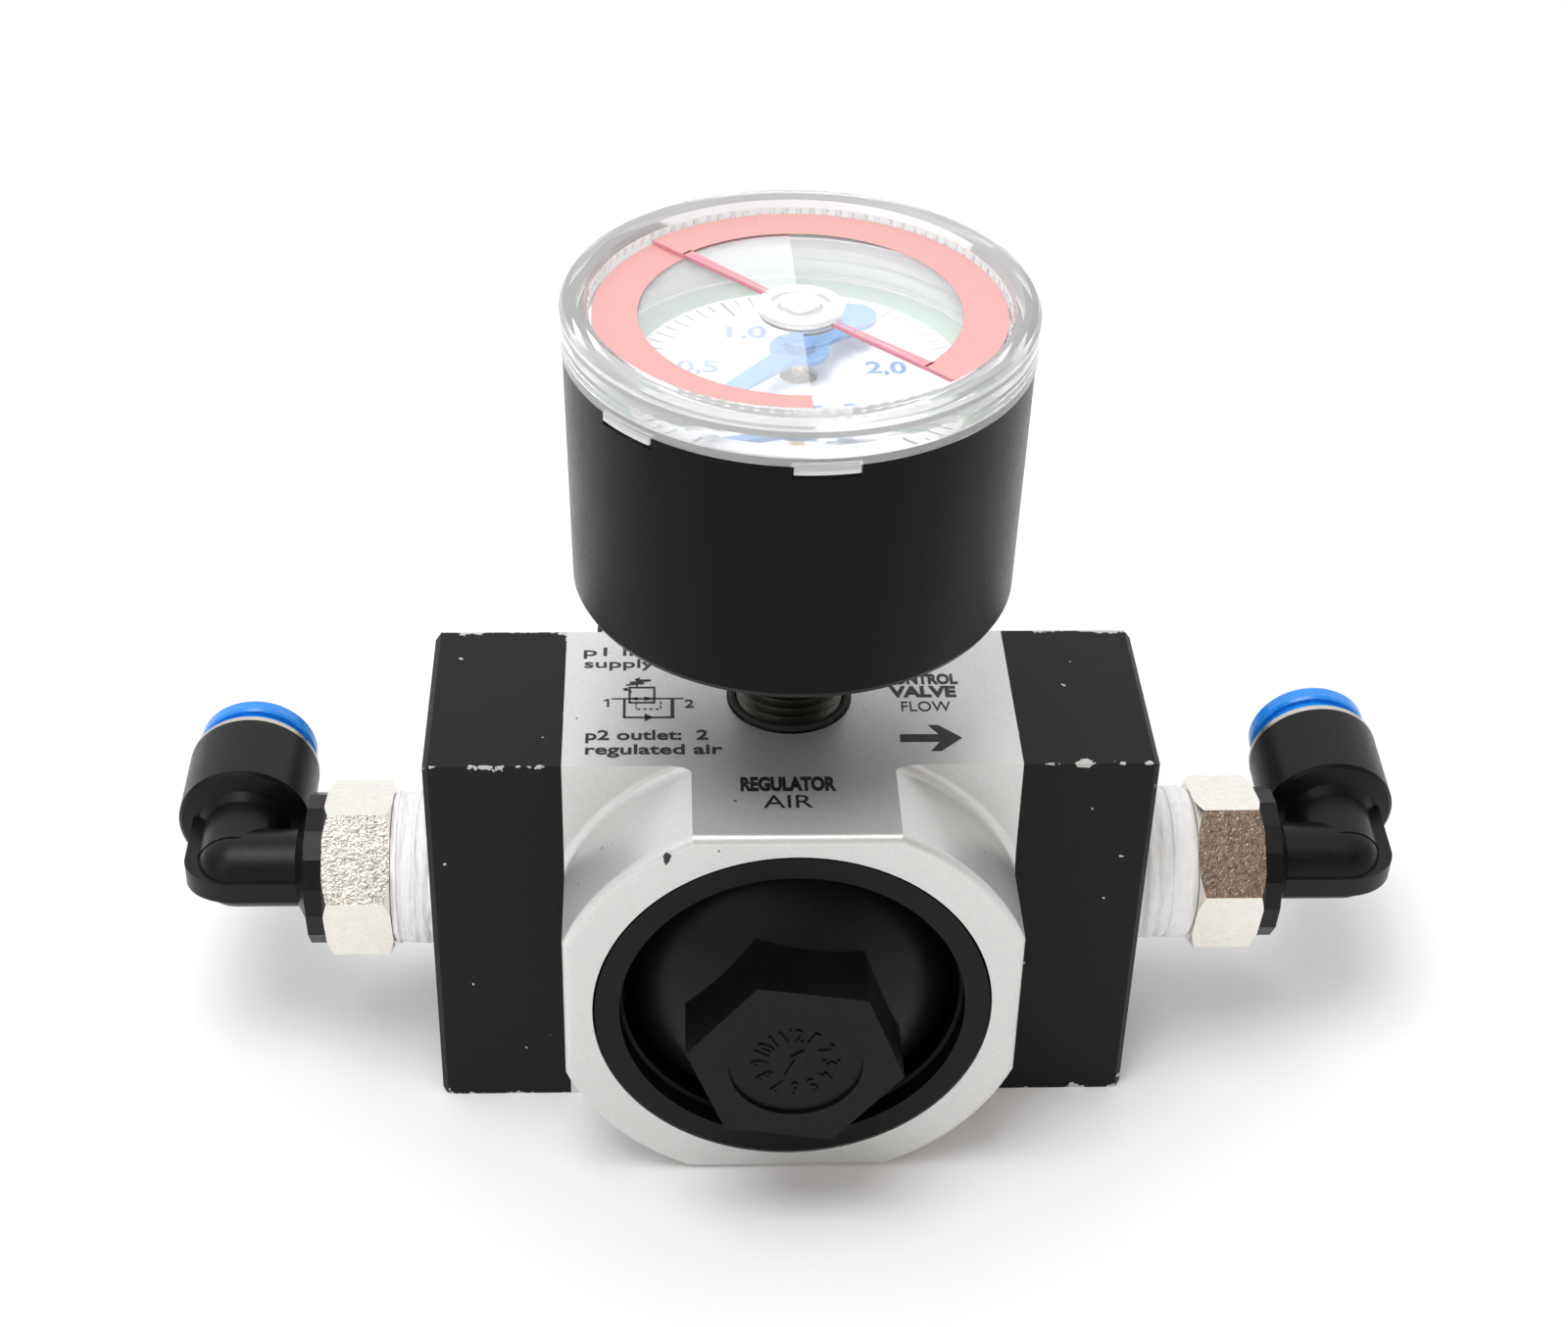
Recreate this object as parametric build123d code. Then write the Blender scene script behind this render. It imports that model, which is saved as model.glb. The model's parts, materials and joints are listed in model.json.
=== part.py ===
"""Compact pneumatic pressure regulator with gauge, end plates and push-in elbows.

Millimetres. The regulator lies on its back face: Z = 0 is that face and +Z is up. Air flows along
+X through ports at Y = 0, Z = AXIS_Z. The regulating axis is parallel to Y: the hexagon plug is at
-Y and the setting knob at +Y. The gauge stands on +Z. The origin is the centre of the back face.
"""

from build123d import *
import os
from math import asin, atan2, cos, degrees, hypot, pi, radians, sin

# ---------------------------------------------------------------- driving dimensions
AXIS_Z = 19.5            # height of the port and regulating axes
BODY_HALF_X = 20.0
BODY_TOP = 39.0
CORE_HALF_Y = 10.0       # square middle of the body
BOSS_END = 20.0          # round bosses on both sides reach this far along Y
BOSS_R = 21.4
PLATE_OUT = 32.0         # outer face of an end plate
PORT_R = 6.58            # G1/4 port, at the crest of the mating thread
AIRWAY_R = 5.5

PLUG_RIM_R = 17.3        # bottom plug
PLUG_THREAD_R = 15.5
PLUG_DOME_R = 18.46
PLUG_DOME_CENTRE = -4.6
PLUG_HEX_FLATS = 16.5
PLUG_HEX_FACE = -26.8
PLUG_HEX_TURN = 51.0     # degrees from +X to a corner

SEAT_Y0, SEAT_Y1 = 0.5, 3.0     # wall between inlet and outlet chambers
INLET_CHAMBER_R = 12.0
OUTLET_CHAMBER_R = 13.5
DIAPHRAGM_Y = 12.5       # ledge that carries the diaphragm's bead

NECK_R = 18.0            # M36 panel neck
BONNET_THREAD_R = 17.7   # thread that screws into the body
NECK_END = 40.0
KNOB_R = 15.1            # under the grip ribs
KNOB_END = 68.5
SPINDLE_R = 4.0          # M8 adjusting screw
SPINDLE_CLEARANCE = 0.06

GAUGE_PORT_R = 4.88      # G1/8
CASE_BOTTOM, CASE_TOP = 52.4, 75.0
CASE_FLOOR = 54.2
SOCKET_R = 6.1           # round part of the socket in the case floor
DIAL_Z = 70.9
DIAL_RIM_TOP = 74.9
LENS_BOTTOM, LENS_TOP = 76.3, 77.3
BEZEL_TOP = 79.4
TAB_ANGLES = (-86, -137, 43, 94)
TAB_END = 74.25

PINION_TEETH, SECTOR_FULL_TEETH = 12, 108
GEAR_MODULE = 0.2
SECTOR_TRAVEL = 30.0     # degrees, for 270 degrees of pointer
GEAR_Z0, GEAR_Z1 = 63.4, 64.4

HEX_START = {"inlet": 36.0, "outlet": 37.8}     # inner face of each fitting's hexagon, from X = 0
SIDE = {"inlet": -1, "outlet": 1}
ELBOW_TILT = {"inlet": 0.0, "outlet": 4.5}     # degrees that a barrel points above +Y
TUBE_R = 4.1             # clear bore for an 8 mm tube
SWIVEL_R = 4.5           # elbow spigot inside the hexagon
SOCKET_S = 14.7          # socket axis, outward from the hexagon's inner face

# ---------------------------------------------------------------- helpers
TO_Y = Pos(0, 0, AXIS_Z) * Rot(-90, 0, 0)       # stands a Z-axis shape on the regulating axis


def block(x0, x1, y0, y1, z0, z1):
    """Box between two corners."""
    return Pos((x0 + x1) / 2, (y0 + y1) / 2, (z0 + z1) / 2) * Box(x1 - x0, y1 - y0, z1 - z0)


def rod(r, s0, s1):
    """Cylinder on the Z axis from s0 to s1."""
    return Pos(0, 0, (s0 + s1) / 2) * Cylinder(r, s1 - s0)


def ring(r_out, r_in, s0, s1):
    """Round tube on the Z axis."""
    return rod(r_out, s0, s1) - rod(r_in, s0 - 1, s1 + 1)


def lathe(*points):
    """Solid of revolution about Z from a closed outline of (radius, height) points."""
    outline = Polyline(*[(r, 0, s) for r, s in points], close=True)
    return revolve(make_face(outline), Axis.Z)


def polygon_bar(flats, s0, s1, sides=6, turn=0.0):
    """Prism on the Z axis, given across its flats; turn is the angle of its first corner."""
    outline = RegularPolygon(flats / 2, sides, major_radius=False, rotation=turn)
    return Pos(0, 0, s0) * extrude(outline, s1 - s0)


def o_ring(r_mean, r_cord, s):
    """Toroidal seal centred on the Z axis at height s."""
    return Pos(0, 0, s) * Torus(r_mean, r_cord)


def along_x(shape, x=0.0, side=1):
    """Turns a Z-axis shape so that +Z points along side * X, from x, on the port axis."""
    return Pos(x, 0, AXIS_Z) * Rot(0, 90 * side, 0) * shape


def coil(r_mean, r_wire, s0, s1, turns):
    """Open compression spring between s0 and s1."""
    rise = s1 - s0 - 2 * r_wire
    path = Helix(rise / turns, rise, r_mean)
    section = Plane(origin=path @ 0, z_dir=path % 0) * Circle(r_wire)
    return Pos(0, 0, s0 + r_wire) * sweep(section, path=path)


def arc_piece(r_out, r_in, s0, s1, middle, width):
    """Part of a ring, centred on an angle in degrees and width degrees wide."""
    reach = 2 * r_out
    wedge = make_face(
        Polyline(
            (0, 0),
            (reach * cos(radians(middle - width / 2)), reach * sin(radians(middle - width / 2))),
            (reach * cos(radians(middle + width / 2)), reach * sin(radians(middle + width / 2))),
            close=True,
        )
    )
    return ring(r_out, r_in, s0, s1) & (Pos(0, 0, s0) * extrude(wedge, s1 - s0))


# ---------------------------------------------------------------- body and end plates
SCREW_OFFSET = 14.5      # plate screws above and below the port axis
SCREW_SHANK_R, SCREW_HEAD_R = 2.0, 3.5
SCREW_HEAD_SEAT = 27.6   # X of the counterbore floor
SCREW_TIP = 13.0
GAUGE_PORT_FLOOR = 32.4
REAR_PORT_DEPTH = 6.6
BOSS_ROOT_FILLET, BOSS_END_FILLET = 1.0, 0.8
PLUG_SEAT_Y = -14.4      # step that the plug's seal sits on
PLUG_THREAD_END = -6.0
SEAT_R = 6.2             # bore for the pressed-in valve seat
PORT_LEAD = 0.8          # countersink of the ports


def body_shell():
    """Die-cast outside: a square core with a round boss on both sides, cut by the square."""
    core = block(-BODY_HALF_X, BODY_HALF_X, -CORE_HALF_Y, CORE_HALF_Y, 0, BODY_TOP)
    bosses = TO_Y * rod(BOSS_R, -BOSS_END, BOSS_END)
    bosses &= block(-BODY_HALF_X, BODY_HALF_X, -BOSS_END, BOSS_END, 0, BODY_TOP)
    shell = core + bosses
    roots = [
        e for e in shell.edges()
        if e.geom_type == GeomType.CIRCLE and abs(abs(e.center().Y) - CORE_HALF_Y) < 1e-3
    ]
    shell = fillet(roots, BOSS_ROOT_FILLET)
    ends = [e for e in shell.edges() if abs(abs(e.center().Y) - BOSS_END) < 1e-3]
    return fillet(ends, BOSS_END_FILLET)


def valve_body():
    """Body with its plug cavity, two chambers, seat wall, ports and passages."""
    body = body_shell()
    body -= TO_Y * rod(PLUG_RIM_R + 0.2, -BOSS_END - 1, PLUG_SEAT_Y)
    body -= TO_Y * rod(PLUG_THREAD_R, PLUG_SEAT_Y - 0.1, PLUG_THREAD_END)
    body -= TO_Y * rod(INLET_CHAMBER_R, PLUG_THREAD_END - 0.1, SEAT_Y0)
    body -= TO_Y * rod(SEAT_R, SEAT_Y0 - 1, SEAT_Y1 + 1)
    body -= TO_Y * rod(OUTLET_CHAMBER_R, SEAT_Y1, DIAPHRAGM_Y + 1)
    body -= TO_Y * rod(BONNET_THREAD_R, DIAPHRAGM_Y, BOSS_END + 1)
    for side in (-1, 1):
        body -= along_x(rod(AIRWAY_R, 14.5, BODY_HALF_X + 1), 0, side)
        for up in (-1, 1):
            hole = rod(SCREW_SHANK_R, SCREW_TIP - 1, BODY_HALF_X + 1)
            body -= Pos(0, 0, up * SCREW_OFFSET) * along_x(hole, 0, side)
    body -= Pos(0, -2.6, 0) * along_x(rod(2.8, 10, 15), 0, -1)
    outlet_slot = along_x(rod(AIRWAY_R, 11, 15), 0, 1)
    body -= outlet_slot & block(11, 15, SEAT_Y1 + 0.2, AIRWAY_R, 0, BODY_TOP)
    body -= rod(GAUGE_PORT_R, GAUGE_PORT_FLOOR, BODY_TOP + 1)
    body -= lathe(
        (0, BODY_TOP - 0.7), (GAUGE_PORT_R, BODY_TOP - 0.7), (GAUGE_PORT_R + 0.7, BODY_TOP + 0.01),
        (0, BODY_TOP + 0.01),
    )
    body -= rod(GAUGE_PORT_R, -1, REAR_PORT_DEPTH)
    for z, r in ((0.0, 0.78), (1.3, 0.4), (-1.3, 0.4)):
        body -= TO_Y * Pos(CHECK_X, z, 0) * rod(r, SEAT_Y0 - 1, SEAT_Y1 + 1)
    return body


def end_plate(name):
    """Square plate with a threaded port, seal groove and two counterbored screw holes."""
    side = SIDE[name]
    plate = block(BODY_HALF_X, PLATE_OUT, -CORE_HALF_Y, CORE_HALF_Y, 0, BODY_TOP)
    outer = [e for e in plate.edges() if abs(e.center().X - PLATE_OUT) < 1e-3]
    plate = chamfer(outer, 0.5)
    plate -= along_x(rod(AIRWAY_R, BODY_HALF_X - 1, PLATE_OUT))
    plate -= along_x(rod(PORT_R, PLATE_OUT - 9.0, PLATE_OUT + 1))
    lead = PLATE_OUT - PORT_LEAD
    past = PLATE_OUT + 0.01
    plate -= along_x(lathe((0, lead), (PORT_R, lead), (PORT_R + PORT_LEAD + 0.01, past), (0, past)))
    plate -= along_x(ring(8.3, 6.5, BODY_HALF_X - 1, BODY_HALF_X + 1.4))
    for up in (-1, 1):
        hole = rod(2.25, BODY_HALF_X - 1, PLATE_OUT + 1) + rod(3.9, SCREW_HEAD_SEAT, PLATE_OUT + 1)
        plate -= Pos(0, 0, up * SCREW_OFFSET) * along_x(hole)
    return plate if side > 0 else Rot(0, 0, 180) * plate


def plate_screws():
    """Four socket-head screws, two through each end plate."""
    head_end = SCREW_HEAD_SEAT + 4.0
    screw = rod(SCREW_SHANK_R, SCREW_TIP, SCREW_HEAD_SEAT + 0.1)
    screw += rod(SCREW_HEAD_R, SCREW_HEAD_SEAT, head_end)
    screw -= polygon_bar(3.0, head_end - 2.2, head_end + 1)
    rim = [e for e in screw.edges() if e.geom_type == GeomType.CIRCLE and e.center().Z > head_end - 0.01]
    screw = fillet(rim, 0.4)
    return [
        Pos(0, 0, up * SCREW_OFFSET) * along_x(screw, 0, side)
        for side in (-1, 1)
        for up in (-1, 1)
    ]


def plate_seals():
    """Round seals between the body and each end plate."""
    seal = o_ring(7.4, 0.7, BODY_HALF_X + 0.7)
    return [along_x(seal, 0, side) for side in (-1, 1)]


# ---------------------------------------------------------------- bottom plug and valve
PLUG_GUIDE_R = 2.56
POPPET_PIN_R = 2.5
STEM_TOP = 11.2
SEAT_LIP_Y = -0.5
CHECK_X = 9.2


def bottom_plug():
    """Screwed plug: flat rim, groove, domed face with a hexagon, and the poppet's guide inside."""
    plug = rod(PLUG_RIM_R, -19.95, -15.2) + rod(PLUG_THREAD_R, -15.3, -6.5)
    plug -= rod(15.15, -21, -14.6)
    plug += lathe((15.2, -18.1), (14.85, -17.8), (15.2, -17.5))
    dome = Pos(0, 0, PLUG_DOME_CENTRE) * Sphere(PLUG_DOME_R)
    plug += dome & rod(14.75, -24, -13.2)
    plug += rod(PLUG_THREAD_R, -14.6, -13.0)
    plug += polygon_bar(PLUG_HEX_FLATS, PLUG_HEX_FACE, -15, 6, -PLUG_HEX_TURN)
    plug -= rod(5.8, PLUG_HEX_FACE - 1, PLUG_HEX_FACE + 0.35)
    plug -= rod(12.5, -13.5, -5)
    plug += ring(4.3, PLUG_GUIDE_R, -14.0, -7.5)
    plug -= rod(PLUG_GUIDE_R, -16.5, -7)
    return TO_Y * plug


def bottom_plug_seal():
    """Flat seal under the plug's rim."""
    return TO_Y * ring(PLUG_RIM_R, PLUG_THREAD_R + 0.1, PLUG_SEAT_Y - 0.8, PLUG_SEAT_Y)


def valve_seat():
    """Brass seat pressed into the wall between the chambers."""
    return TO_Y * lathe(
        (4.5, SEAT_LIP_Y), (5.1, SEAT_LIP_Y), (SEAT_R, 0.4), (SEAT_R, SEAT_Y1), (4.5, SEAT_Y1)
    )


def poppet():
    """Valve head with a guide pin below and a push stem above."""
    return TO_Y * lathe(
        (0, -11.0), (POPPET_PIN_R, -11.0), (POPPET_PIN_R, -4.0), (6.1, -4.0), (6.1, -1.5),
        (2.0, -1.5), (1.5, -0.8), (1.5, STEM_TOP - 0.5), (1.0, STEM_TOP), (0, STEM_TOP),
    )


def poppet_seal():
    """Rubber facing on the poppet that closes against the seat lip."""
    return TO_Y * lathe((2.1, -1.5), (6.1, -1.5), (6.1, -0.52), (2.1, -0.52))


def return_spring():
    """Spring that closes the poppet."""
    return TO_Y * coil(5.1, 0.4, -13.4, -4.05, 6)


def check_valve():
    """Return-flow disc over two small holes beside the seat, held by its own stem."""
    return TO_Y * Pos(CHECK_X, 0, 0) * (
        rod(2.1, -0.6, SEAT_Y0 - 0.02) + rod(0.7, -0.6, 3.9) + rod(1.2, 3.6, 4.3)
    )


# ---------------------------------------------------------------- diaphragm, springs and bonnet
DIAPHRAGM_T = 0.5
BEAD_TOP = 13.7
PLATE_LOW_TOP = 12.7
NUT_Y0, NUT_Y1 = 35.0, 38.6
SPRING_PLATE_TOP = 14.6
COLLAR_Y0, COLLAR_Y1 = 46.0, 48.0
TOWER_R, TOWER_END = 12.6, 51.0
NUT_RIB_X = 12.3         # ribs that keep the nut from turning
KNOB_SKIRT_Y = 41.6
DRIVE_FLATS = 7.0
DRIVE_END = 63.0


def diaphragm():
    """Rubber diaphragm: clamped bead, rolled web and a flat centre."""
    return TO_Y * lathe(
        (2.5, PLATE_LOW_TOP), (9.4, PLATE_LOW_TOP), (11.2, 13.1), (13.6, DIAPHRAGM_Y),
        (17.6, DIAPHRAGM_Y), (17.6, BEAD_TOP), (14.4, BEAD_TOP), (13.9, 13.1), (11.3, 13.7),
        (9.2, PLATE_LOW_TOP + DIAPHRAGM_T), (2.5, PLATE_LOW_TOP + DIAPHRAGM_T),
    )


def diaphragm_plate():
    """Lower clamp plate with the relief hole that the poppet stem closes."""
    return TO_Y * lathe(
        (0.6, STEM_TOP + 0.02), (8.4, STEM_TOP + 0.02), (9.0, 12.0), (9.0, PLATE_LOW_TOP),
        (2.5, PLATE_LOW_TOP), (2.5, SPRING_PLATE_TOP + 0.8), (0.6, SPRING_PLATE_TOP + 0.8),
    )


def spring_plate():
    """Upper clamp plate that centres the setting spring."""
    low = PLATE_LOW_TOP + DIAPHRAGM_T
    return TO_Y * lathe(
        (2.5, low), (8.8, low), (10.6, 13.9), (10.6, SPRING_PLATE_TOP), (6.4, SPRING_PLATE_TOP),
        (5.6, 16.4), (4.6, 16.4), (4.6, SPRING_PLATE_TOP), (2.5, SPRING_PLATE_TOP),
    )


def setting_spring():
    """Spring whose force sets the outlet pressure."""
    return TO_Y * coil(8.3, 0.9, SPRING_PLATE_TOP + 0.05, NUT_Y0 - 0.05, 5.5)


def bonnet():
    """Bonnet: threaded panel neck, two ribs that stop the nut turning, and a bearing tower."""
    shape = lathe(
        (14.0, BEAD_TOP), (BONNET_THREAD_R, BEAD_TOP), (BONNET_THREAD_R, BOSS_END),
        (NECK_R, BOSS_END), (NECK_R, NECK_END - 0.8), (17.2, NECK_END),
        (13.4, NECK_END), (13.4, 43.0), (TOWER_R, 43.6), (TOWER_R, TOWER_END), (5.2, TOWER_END),
        (5.2, COLLAR_Y1 + 0.05), (7.3, COLLAR_Y1 + 0.05), (7.3, COLLAR_Y0 - 0.05),
        (4.4, COLLAR_Y0 - 0.05), (4.4, 43.0), (11.0, 40.4), (13.2, 38.75), (13.2, 16.0), (14.0, 15.2),
    )
    for side in (-1, 1):
        middle = side * NUT_RIB_X
        shape += block(middle - 1.0, middle + 1.0, -1.5, 1.5, 18.0, 40.3)
    shape -= rod(0.9, 24, 25)
    shape -= Pos(0, 0, 30) * Rot(90, 0, 0) * rod(0.8, -20, -12)
    return TO_Y * shape


def detent_ring():
    """Snap ring on the tower whose two grooves hold the knob in or out."""
    return TO_Y * lathe(
        (TOWER_R, 45.0), (13.4, 45.0), (13.4, 45.6), (13.05, 45.9), (13.4, 46.2), (13.4, 48.1),
        (13.05, 48.4), (13.4, 48.7), (13.4, 49.3), (TOWER_R, 49.3),
    )


def adjusting_spindle():
    """Screw with a thrust collar inside the tower and a hexagon drive inside the knob."""
    screw = lathe(
        (0, 26.0), (SPINDLE_R - 0.5, 26.0), (SPINDLE_R, 26.5), (SPINDLE_R, COLLAR_Y0),
        (7.2, COLLAR_Y0), (7.2, COLLAR_Y1), (0, COLLAR_Y1),
    )
    return TO_Y * (screw + polygon_bar(DRIVE_FLATS, COLLAR_Y1, DRIVE_END))


def spring_nut():
    """Nut that the spindle drives along the bonnet's ribs."""
    nut = rod(12.9, NUT_Y0, NUT_Y1) + rod(6.4, NUT_Y0 - 2.0, NUT_Y0)
    nut -= rod(SPINDLE_R + SPINDLE_CLEARANCE, NUT_Y0 - 5, NUT_Y1 + 5)
    for side in (-1, 1):
        middle = side * NUT_RIB_X
        nut -= block(middle - 1.3, middle + 1.3, -1.7, 1.7, NUT_Y0 - 5, NUT_Y1 + 5)
    return TO_Y * nut


def knob():
    """Setting knob: ribbed cap with a bead for the snap ring and a hexagon socket."""
    outer = lathe(
        (0, KNOB_SKIRT_Y), (KNOB_R - 0.2, KNOB_SKIRT_Y), (KNOB_R, KNOB_SKIRT_Y + 0.3),
        (KNOB_R, KNOB_END - 1.4), (KNOB_R - 1.2, KNOB_END), (0, KNOB_END),
    )
    ribs = 36
    for i in range(ribs):
        rib = Pos(KNOB_R - 0.1, 0, 0) * rod(0.48, KNOB_SKIRT_Y + 3.5, KNOB_END - 2.4)
        outer += Rot(0, 0, 360 * i / ribs) * rib
    shape = outer - rod(13.6, KNOB_SKIRT_Y - 1, 65.5)
    shape += ring(6.6, 3.0, 52.2, 66.0)
    shape -= polygon_bar(DRIVE_FLATS + 0.1, 52, 65.8)
    shape -= ring(12.3, 11.7, KNOB_END - 0.4, KNOB_END + 1)
    return TO_Y * shape


# ---------------------------------------------------------------- ports on the back and the gauge
def rear_port_plug():
    """Headless plug with a hexagon socket in the second gauge port."""
    plug = lathe((0, 0.7), (4.4, 0.7), (4.86, 1.2), (4.86, 5.3), (0, 5.3))
    return plug - polygon_bar(4.0, 0, 3.4)


def rear_plug_seal():
    """Seal at the inner end of the rear plug."""
    return o_ring(3.9, 0.45, 5.8)


def gauge_seal():
    """Seal ring between the body and the gauge."""
    return lathe((4.9, 39.0), (5.3, 39.0), (5.4, 39.15), (5.4, 39.4), (5.25, 39.55), (4.9, 39.55))


BLOCK_HALF = 4.15        # square part of the gauge socket inside the case
TUBE_RING_R = 14.2       # Bourdon tube centre line
TUBE_START, TUBE_SPAN = -35.0, 270.0
TUBE_Z0, TUBE_Z1 = 56.0, 61.0
TUBE_HALF = 1.1          # half of the flattened tube's thickness
ARM_HALF = 1.6           # half width of the socket's arm that holds the tube
MOVEMENT_Z = 61.4
MOVEMENT_SCREWS = ((-3.0, 1.6), (3.0, 1.6))


def thread_rings(r, s0, s1, pitch, depth):
    """Threaded rod drawn as evenly spaced vee grooves."""
    points = [(0, s0), (r - depth, s0)]
    count = int((s1 - s0) / pitch)
    for i in range(count):
        base = s0 + i * pitch
        points += [(r, base + 0.45 * pitch), (r, base + 0.55 * pitch), (r - depth, base + pitch)]
    points += [(r - depth, s1), (0, s1)]
    return lathe(*points)


def gauge_socket():
    """Threaded stem, square for the spanner, and the block that carries tube and movement."""
    socket = thread_rings(GAUGE_PORT_R - 0.02, 33.4, 45.8, 0.907, 0.5)
    socket += polygon_bar(12.0, 45.8, CASE_BOTTOM, 4, 45)
    socket += rod(SOCKET_R, CASE_BOTTOM - 0.1, CASE_FLOOR)
    block_top = block(-BLOCK_HALF, BLOCK_HALF, -BLOCK_HALF, BLOCK_HALF, CASE_FLOOR - 0.2, MOVEMENT_Z)
    arm = Rot(0, 0, TUBE_START) * block(0, TUBE_RING_R + 1.4, -ARM_HALF, ARM_HALF, TUBE_Z0, TUBE_Z1)
    socket += block_top + arm
    socket -= rod(1.2, 33, 58)
    for x, y in MOVEMENT_SCREWS:
        socket -= Pos(x, y, 0) * rod(0.8, 58.4, MOVEMENT_Z + 1)
    return socket


def gauge_case():
    """Black case: tapered cup with a ledge for the dial and notches for the cover's tabs."""
    case = lathe(
        (SOCKET_R + 0.05, CASE_BOTTOM), (18.1, CASE_BOTTOM), (18.6, 52.65), (18.9, 53.2), (19.35, CASE_TOP),
        (17.45, CASE_TOP), (17.45, DIAL_Z), (16.7, DIAL_Z), (16.7, 70.4), (17.3, 69.6),
        (17.3, CASE_FLOOR), (SOCKET_R + 0.05, CASE_FLOOR),
    )
    for angle in TAB_ANGLES:
        case -= arc_piece(20.5, 18.4, TAB_END - 0.4, CASE_TOP + 1, angle, 16.4)
    return case


POST_R, POST_TOP = 1.2, 78.3
DISC_T = 0.3
DISC_LOW_Z = LENS_TOP + 0.05
DISC_HIGH_Z = DISC_LOW_Z + DISC_T + 0.07
DISC_R = 16.95
DISC_LOW_EDGE, DISC_HIGH_EDGE = 91.5, -45       # degrees from +X to each straight edge


def gauge_cover():
    """Clear cover: raised bezel, recessed lens, centre post, skirt and four snap tabs."""
    cover = lathe(
        (0, LENS_BOTTOM), (16.1, LENS_BOTTOM), (16.5, 75.8), (16.55, 71.6), (17.0, 71.6),
        (17.0, CASE_TOP), (19.4, CASE_TOP), (19.5, 75.2), (19.5, 78.7), (19.2, 79.2),
        (18.7, BEZEL_TOP), (18.1, BEZEL_TOP), (17.5, 79.1), (17.25, 78.5), (17.25, LENS_TOP),
        (POST_R, LENS_TOP), (POST_R, POST_TOP), (0, POST_TOP),
    )
    for angle in TAB_ANGLES:
        cover += arc_piece(19.4, 18.5, TAB_END, CASE_TOP + 0.2, angle, 15.4)
    return cover


def dial():
    """White dial on the case ledge, with a thin upturned rim behind the cover's skirt."""
    return ring(17.4, 1.6, DIAL_Z, DIAL_Z + 0.4) + ring(17.4, 17.05, DIAL_Z, DIAL_RIM_TOP)


def range_disc(z, edge_angle):
    """Clear half disc with a round hub; its straight edge starts at edge_angle."""
    half = rod(DISC_R, z, z + DISC_T) & block(-18, 18, 0, 18, z - 1, z + 1)
    disc = Rot(0, 0, edge_angle) * half + rod(3.4, z, z + DISC_T)
    return disc - rod(POST_R + 0.05, z - 1, z + 1)


def disc_hub_cap():
    """Clear cap fixed on the centre post, over both range discs."""
    low = DISC_HIGH_Z + DISC_T + 0.06
    return lathe(
        (0, POST_TOP), (POST_R, POST_TOP), (POST_R, low), (3.6, low), (3.6, low + 0.25), (3.4, low + 0.35),
        (2.6, low + 0.35), (2.3, low + 0.15), (1.9, low + 0.15), (1.6, low + 0.5), (1.3, low + 0.62),
        (0, low + 0.62),
    )


# ---------------------------------------------------------------- gauge movement
SECTOR_PITCH_R = GEAR_MODULE * SECTOR_FULL_TEETH / 2
PINION_PITCH_R = GEAR_MODULE * PINION_TEETH / 2
PIVOT_Y = -(SECTOR_PITCH_R + PINION_PITCH_R)
POINTER_Z, POINTER_T = 73.4, 0.4
TAIL_LENGTH = 7.2
POINTER_REST = 229       # degrees from +X, just below zero on the dial
ARBOR_R = 0.6            # shafts of the pinion and the sector
FRAME_TOP = 67.4         # upper face of the movement's upper plate
TAIL_R = 4.0
TAIL_REST = 270 - SECTOR_TRAVEL / 2
TIP_ANGLE = TUBE_START + TUBE_SPAN
ADDENDUM, DEDENDUM = 0.16, 0.24


def gear_outline(teeth, r_pitch, first, last, phase):
    """Corner points of straight-sided teeth from the first to the last tooth, phase in degrees."""
    step = 360 / teeth
    points = []
    for i in range(first, last + 1):
        middle = phase + i * step
        for share, r in ((-0.24, -DEDENDUM), (-0.12, ADDENDUM), (0.12, ADDENDUM), (0.24, -DEDENDUM)):
            angle = radians(middle + share * step)
            points.append(((r_pitch + r) * cos(angle), (r_pitch + r) * sin(angle)))
    return points


def pointer_shaft():
    """Pinion shaft that carries the pointer and the hairspring's collet."""
    teeth = gear_outline(PINION_TEETH, PINION_PITCH_R, 0, PINION_TEETH - 1, -90)
    pinion = extrude(make_face(Polyline(*teeth, close=True)), GEAR_Z1 - GEAR_Z0 + 0.8)
    shaft = rod(ARBOR_R, 61.5, POINTER_Z + 0.9) + rod(0.95, 65.2, 66.2)
    return shaft + Pos(0, 0, GEAR_Z0 - 0.4) * pinion


def sector_gear():
    """Toothed sector on its pivot, with a short tail and the link's pin."""
    tooth = 360 / SECTOR_FULL_TEETH
    low = -int((SECTOR_TRAVEL + 6) / tooth)
    points = gear_outline(SECTOR_FULL_TEETH, SECTOR_PITCH_R, low, 2, 90 + tooth / 2)
    outline = Polyline((0, 0), *points, close=True)
    plate = extrude(make_face(outline), GEAR_Z1 - GEAR_Z0)
    tail = Rot(0, 0, TAIL_REST) * block(0, TAIL_R, -0.6, 0.6, 0, GEAR_Z1 - GEAR_Z0)
    pin_at = (TAIL_R * cos(radians(TAIL_REST)), TAIL_R * sin(radians(TAIL_REST)))
    tail += Pos(*pin_at, 0) * (rod(0.7, 0, GEAR_Z1 - GEAR_Z0) + rod(0.4, 0, 2.0))
    shape = Pos(0, 0, GEAR_Z0) * (plate + tail + rod(1.3, -0.4, 1.5)) + rod(ARBOR_R, 61.5, FRAME_TOP - 0.1)
    return Pos(0, PIVOT_Y, 0) * shape


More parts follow.
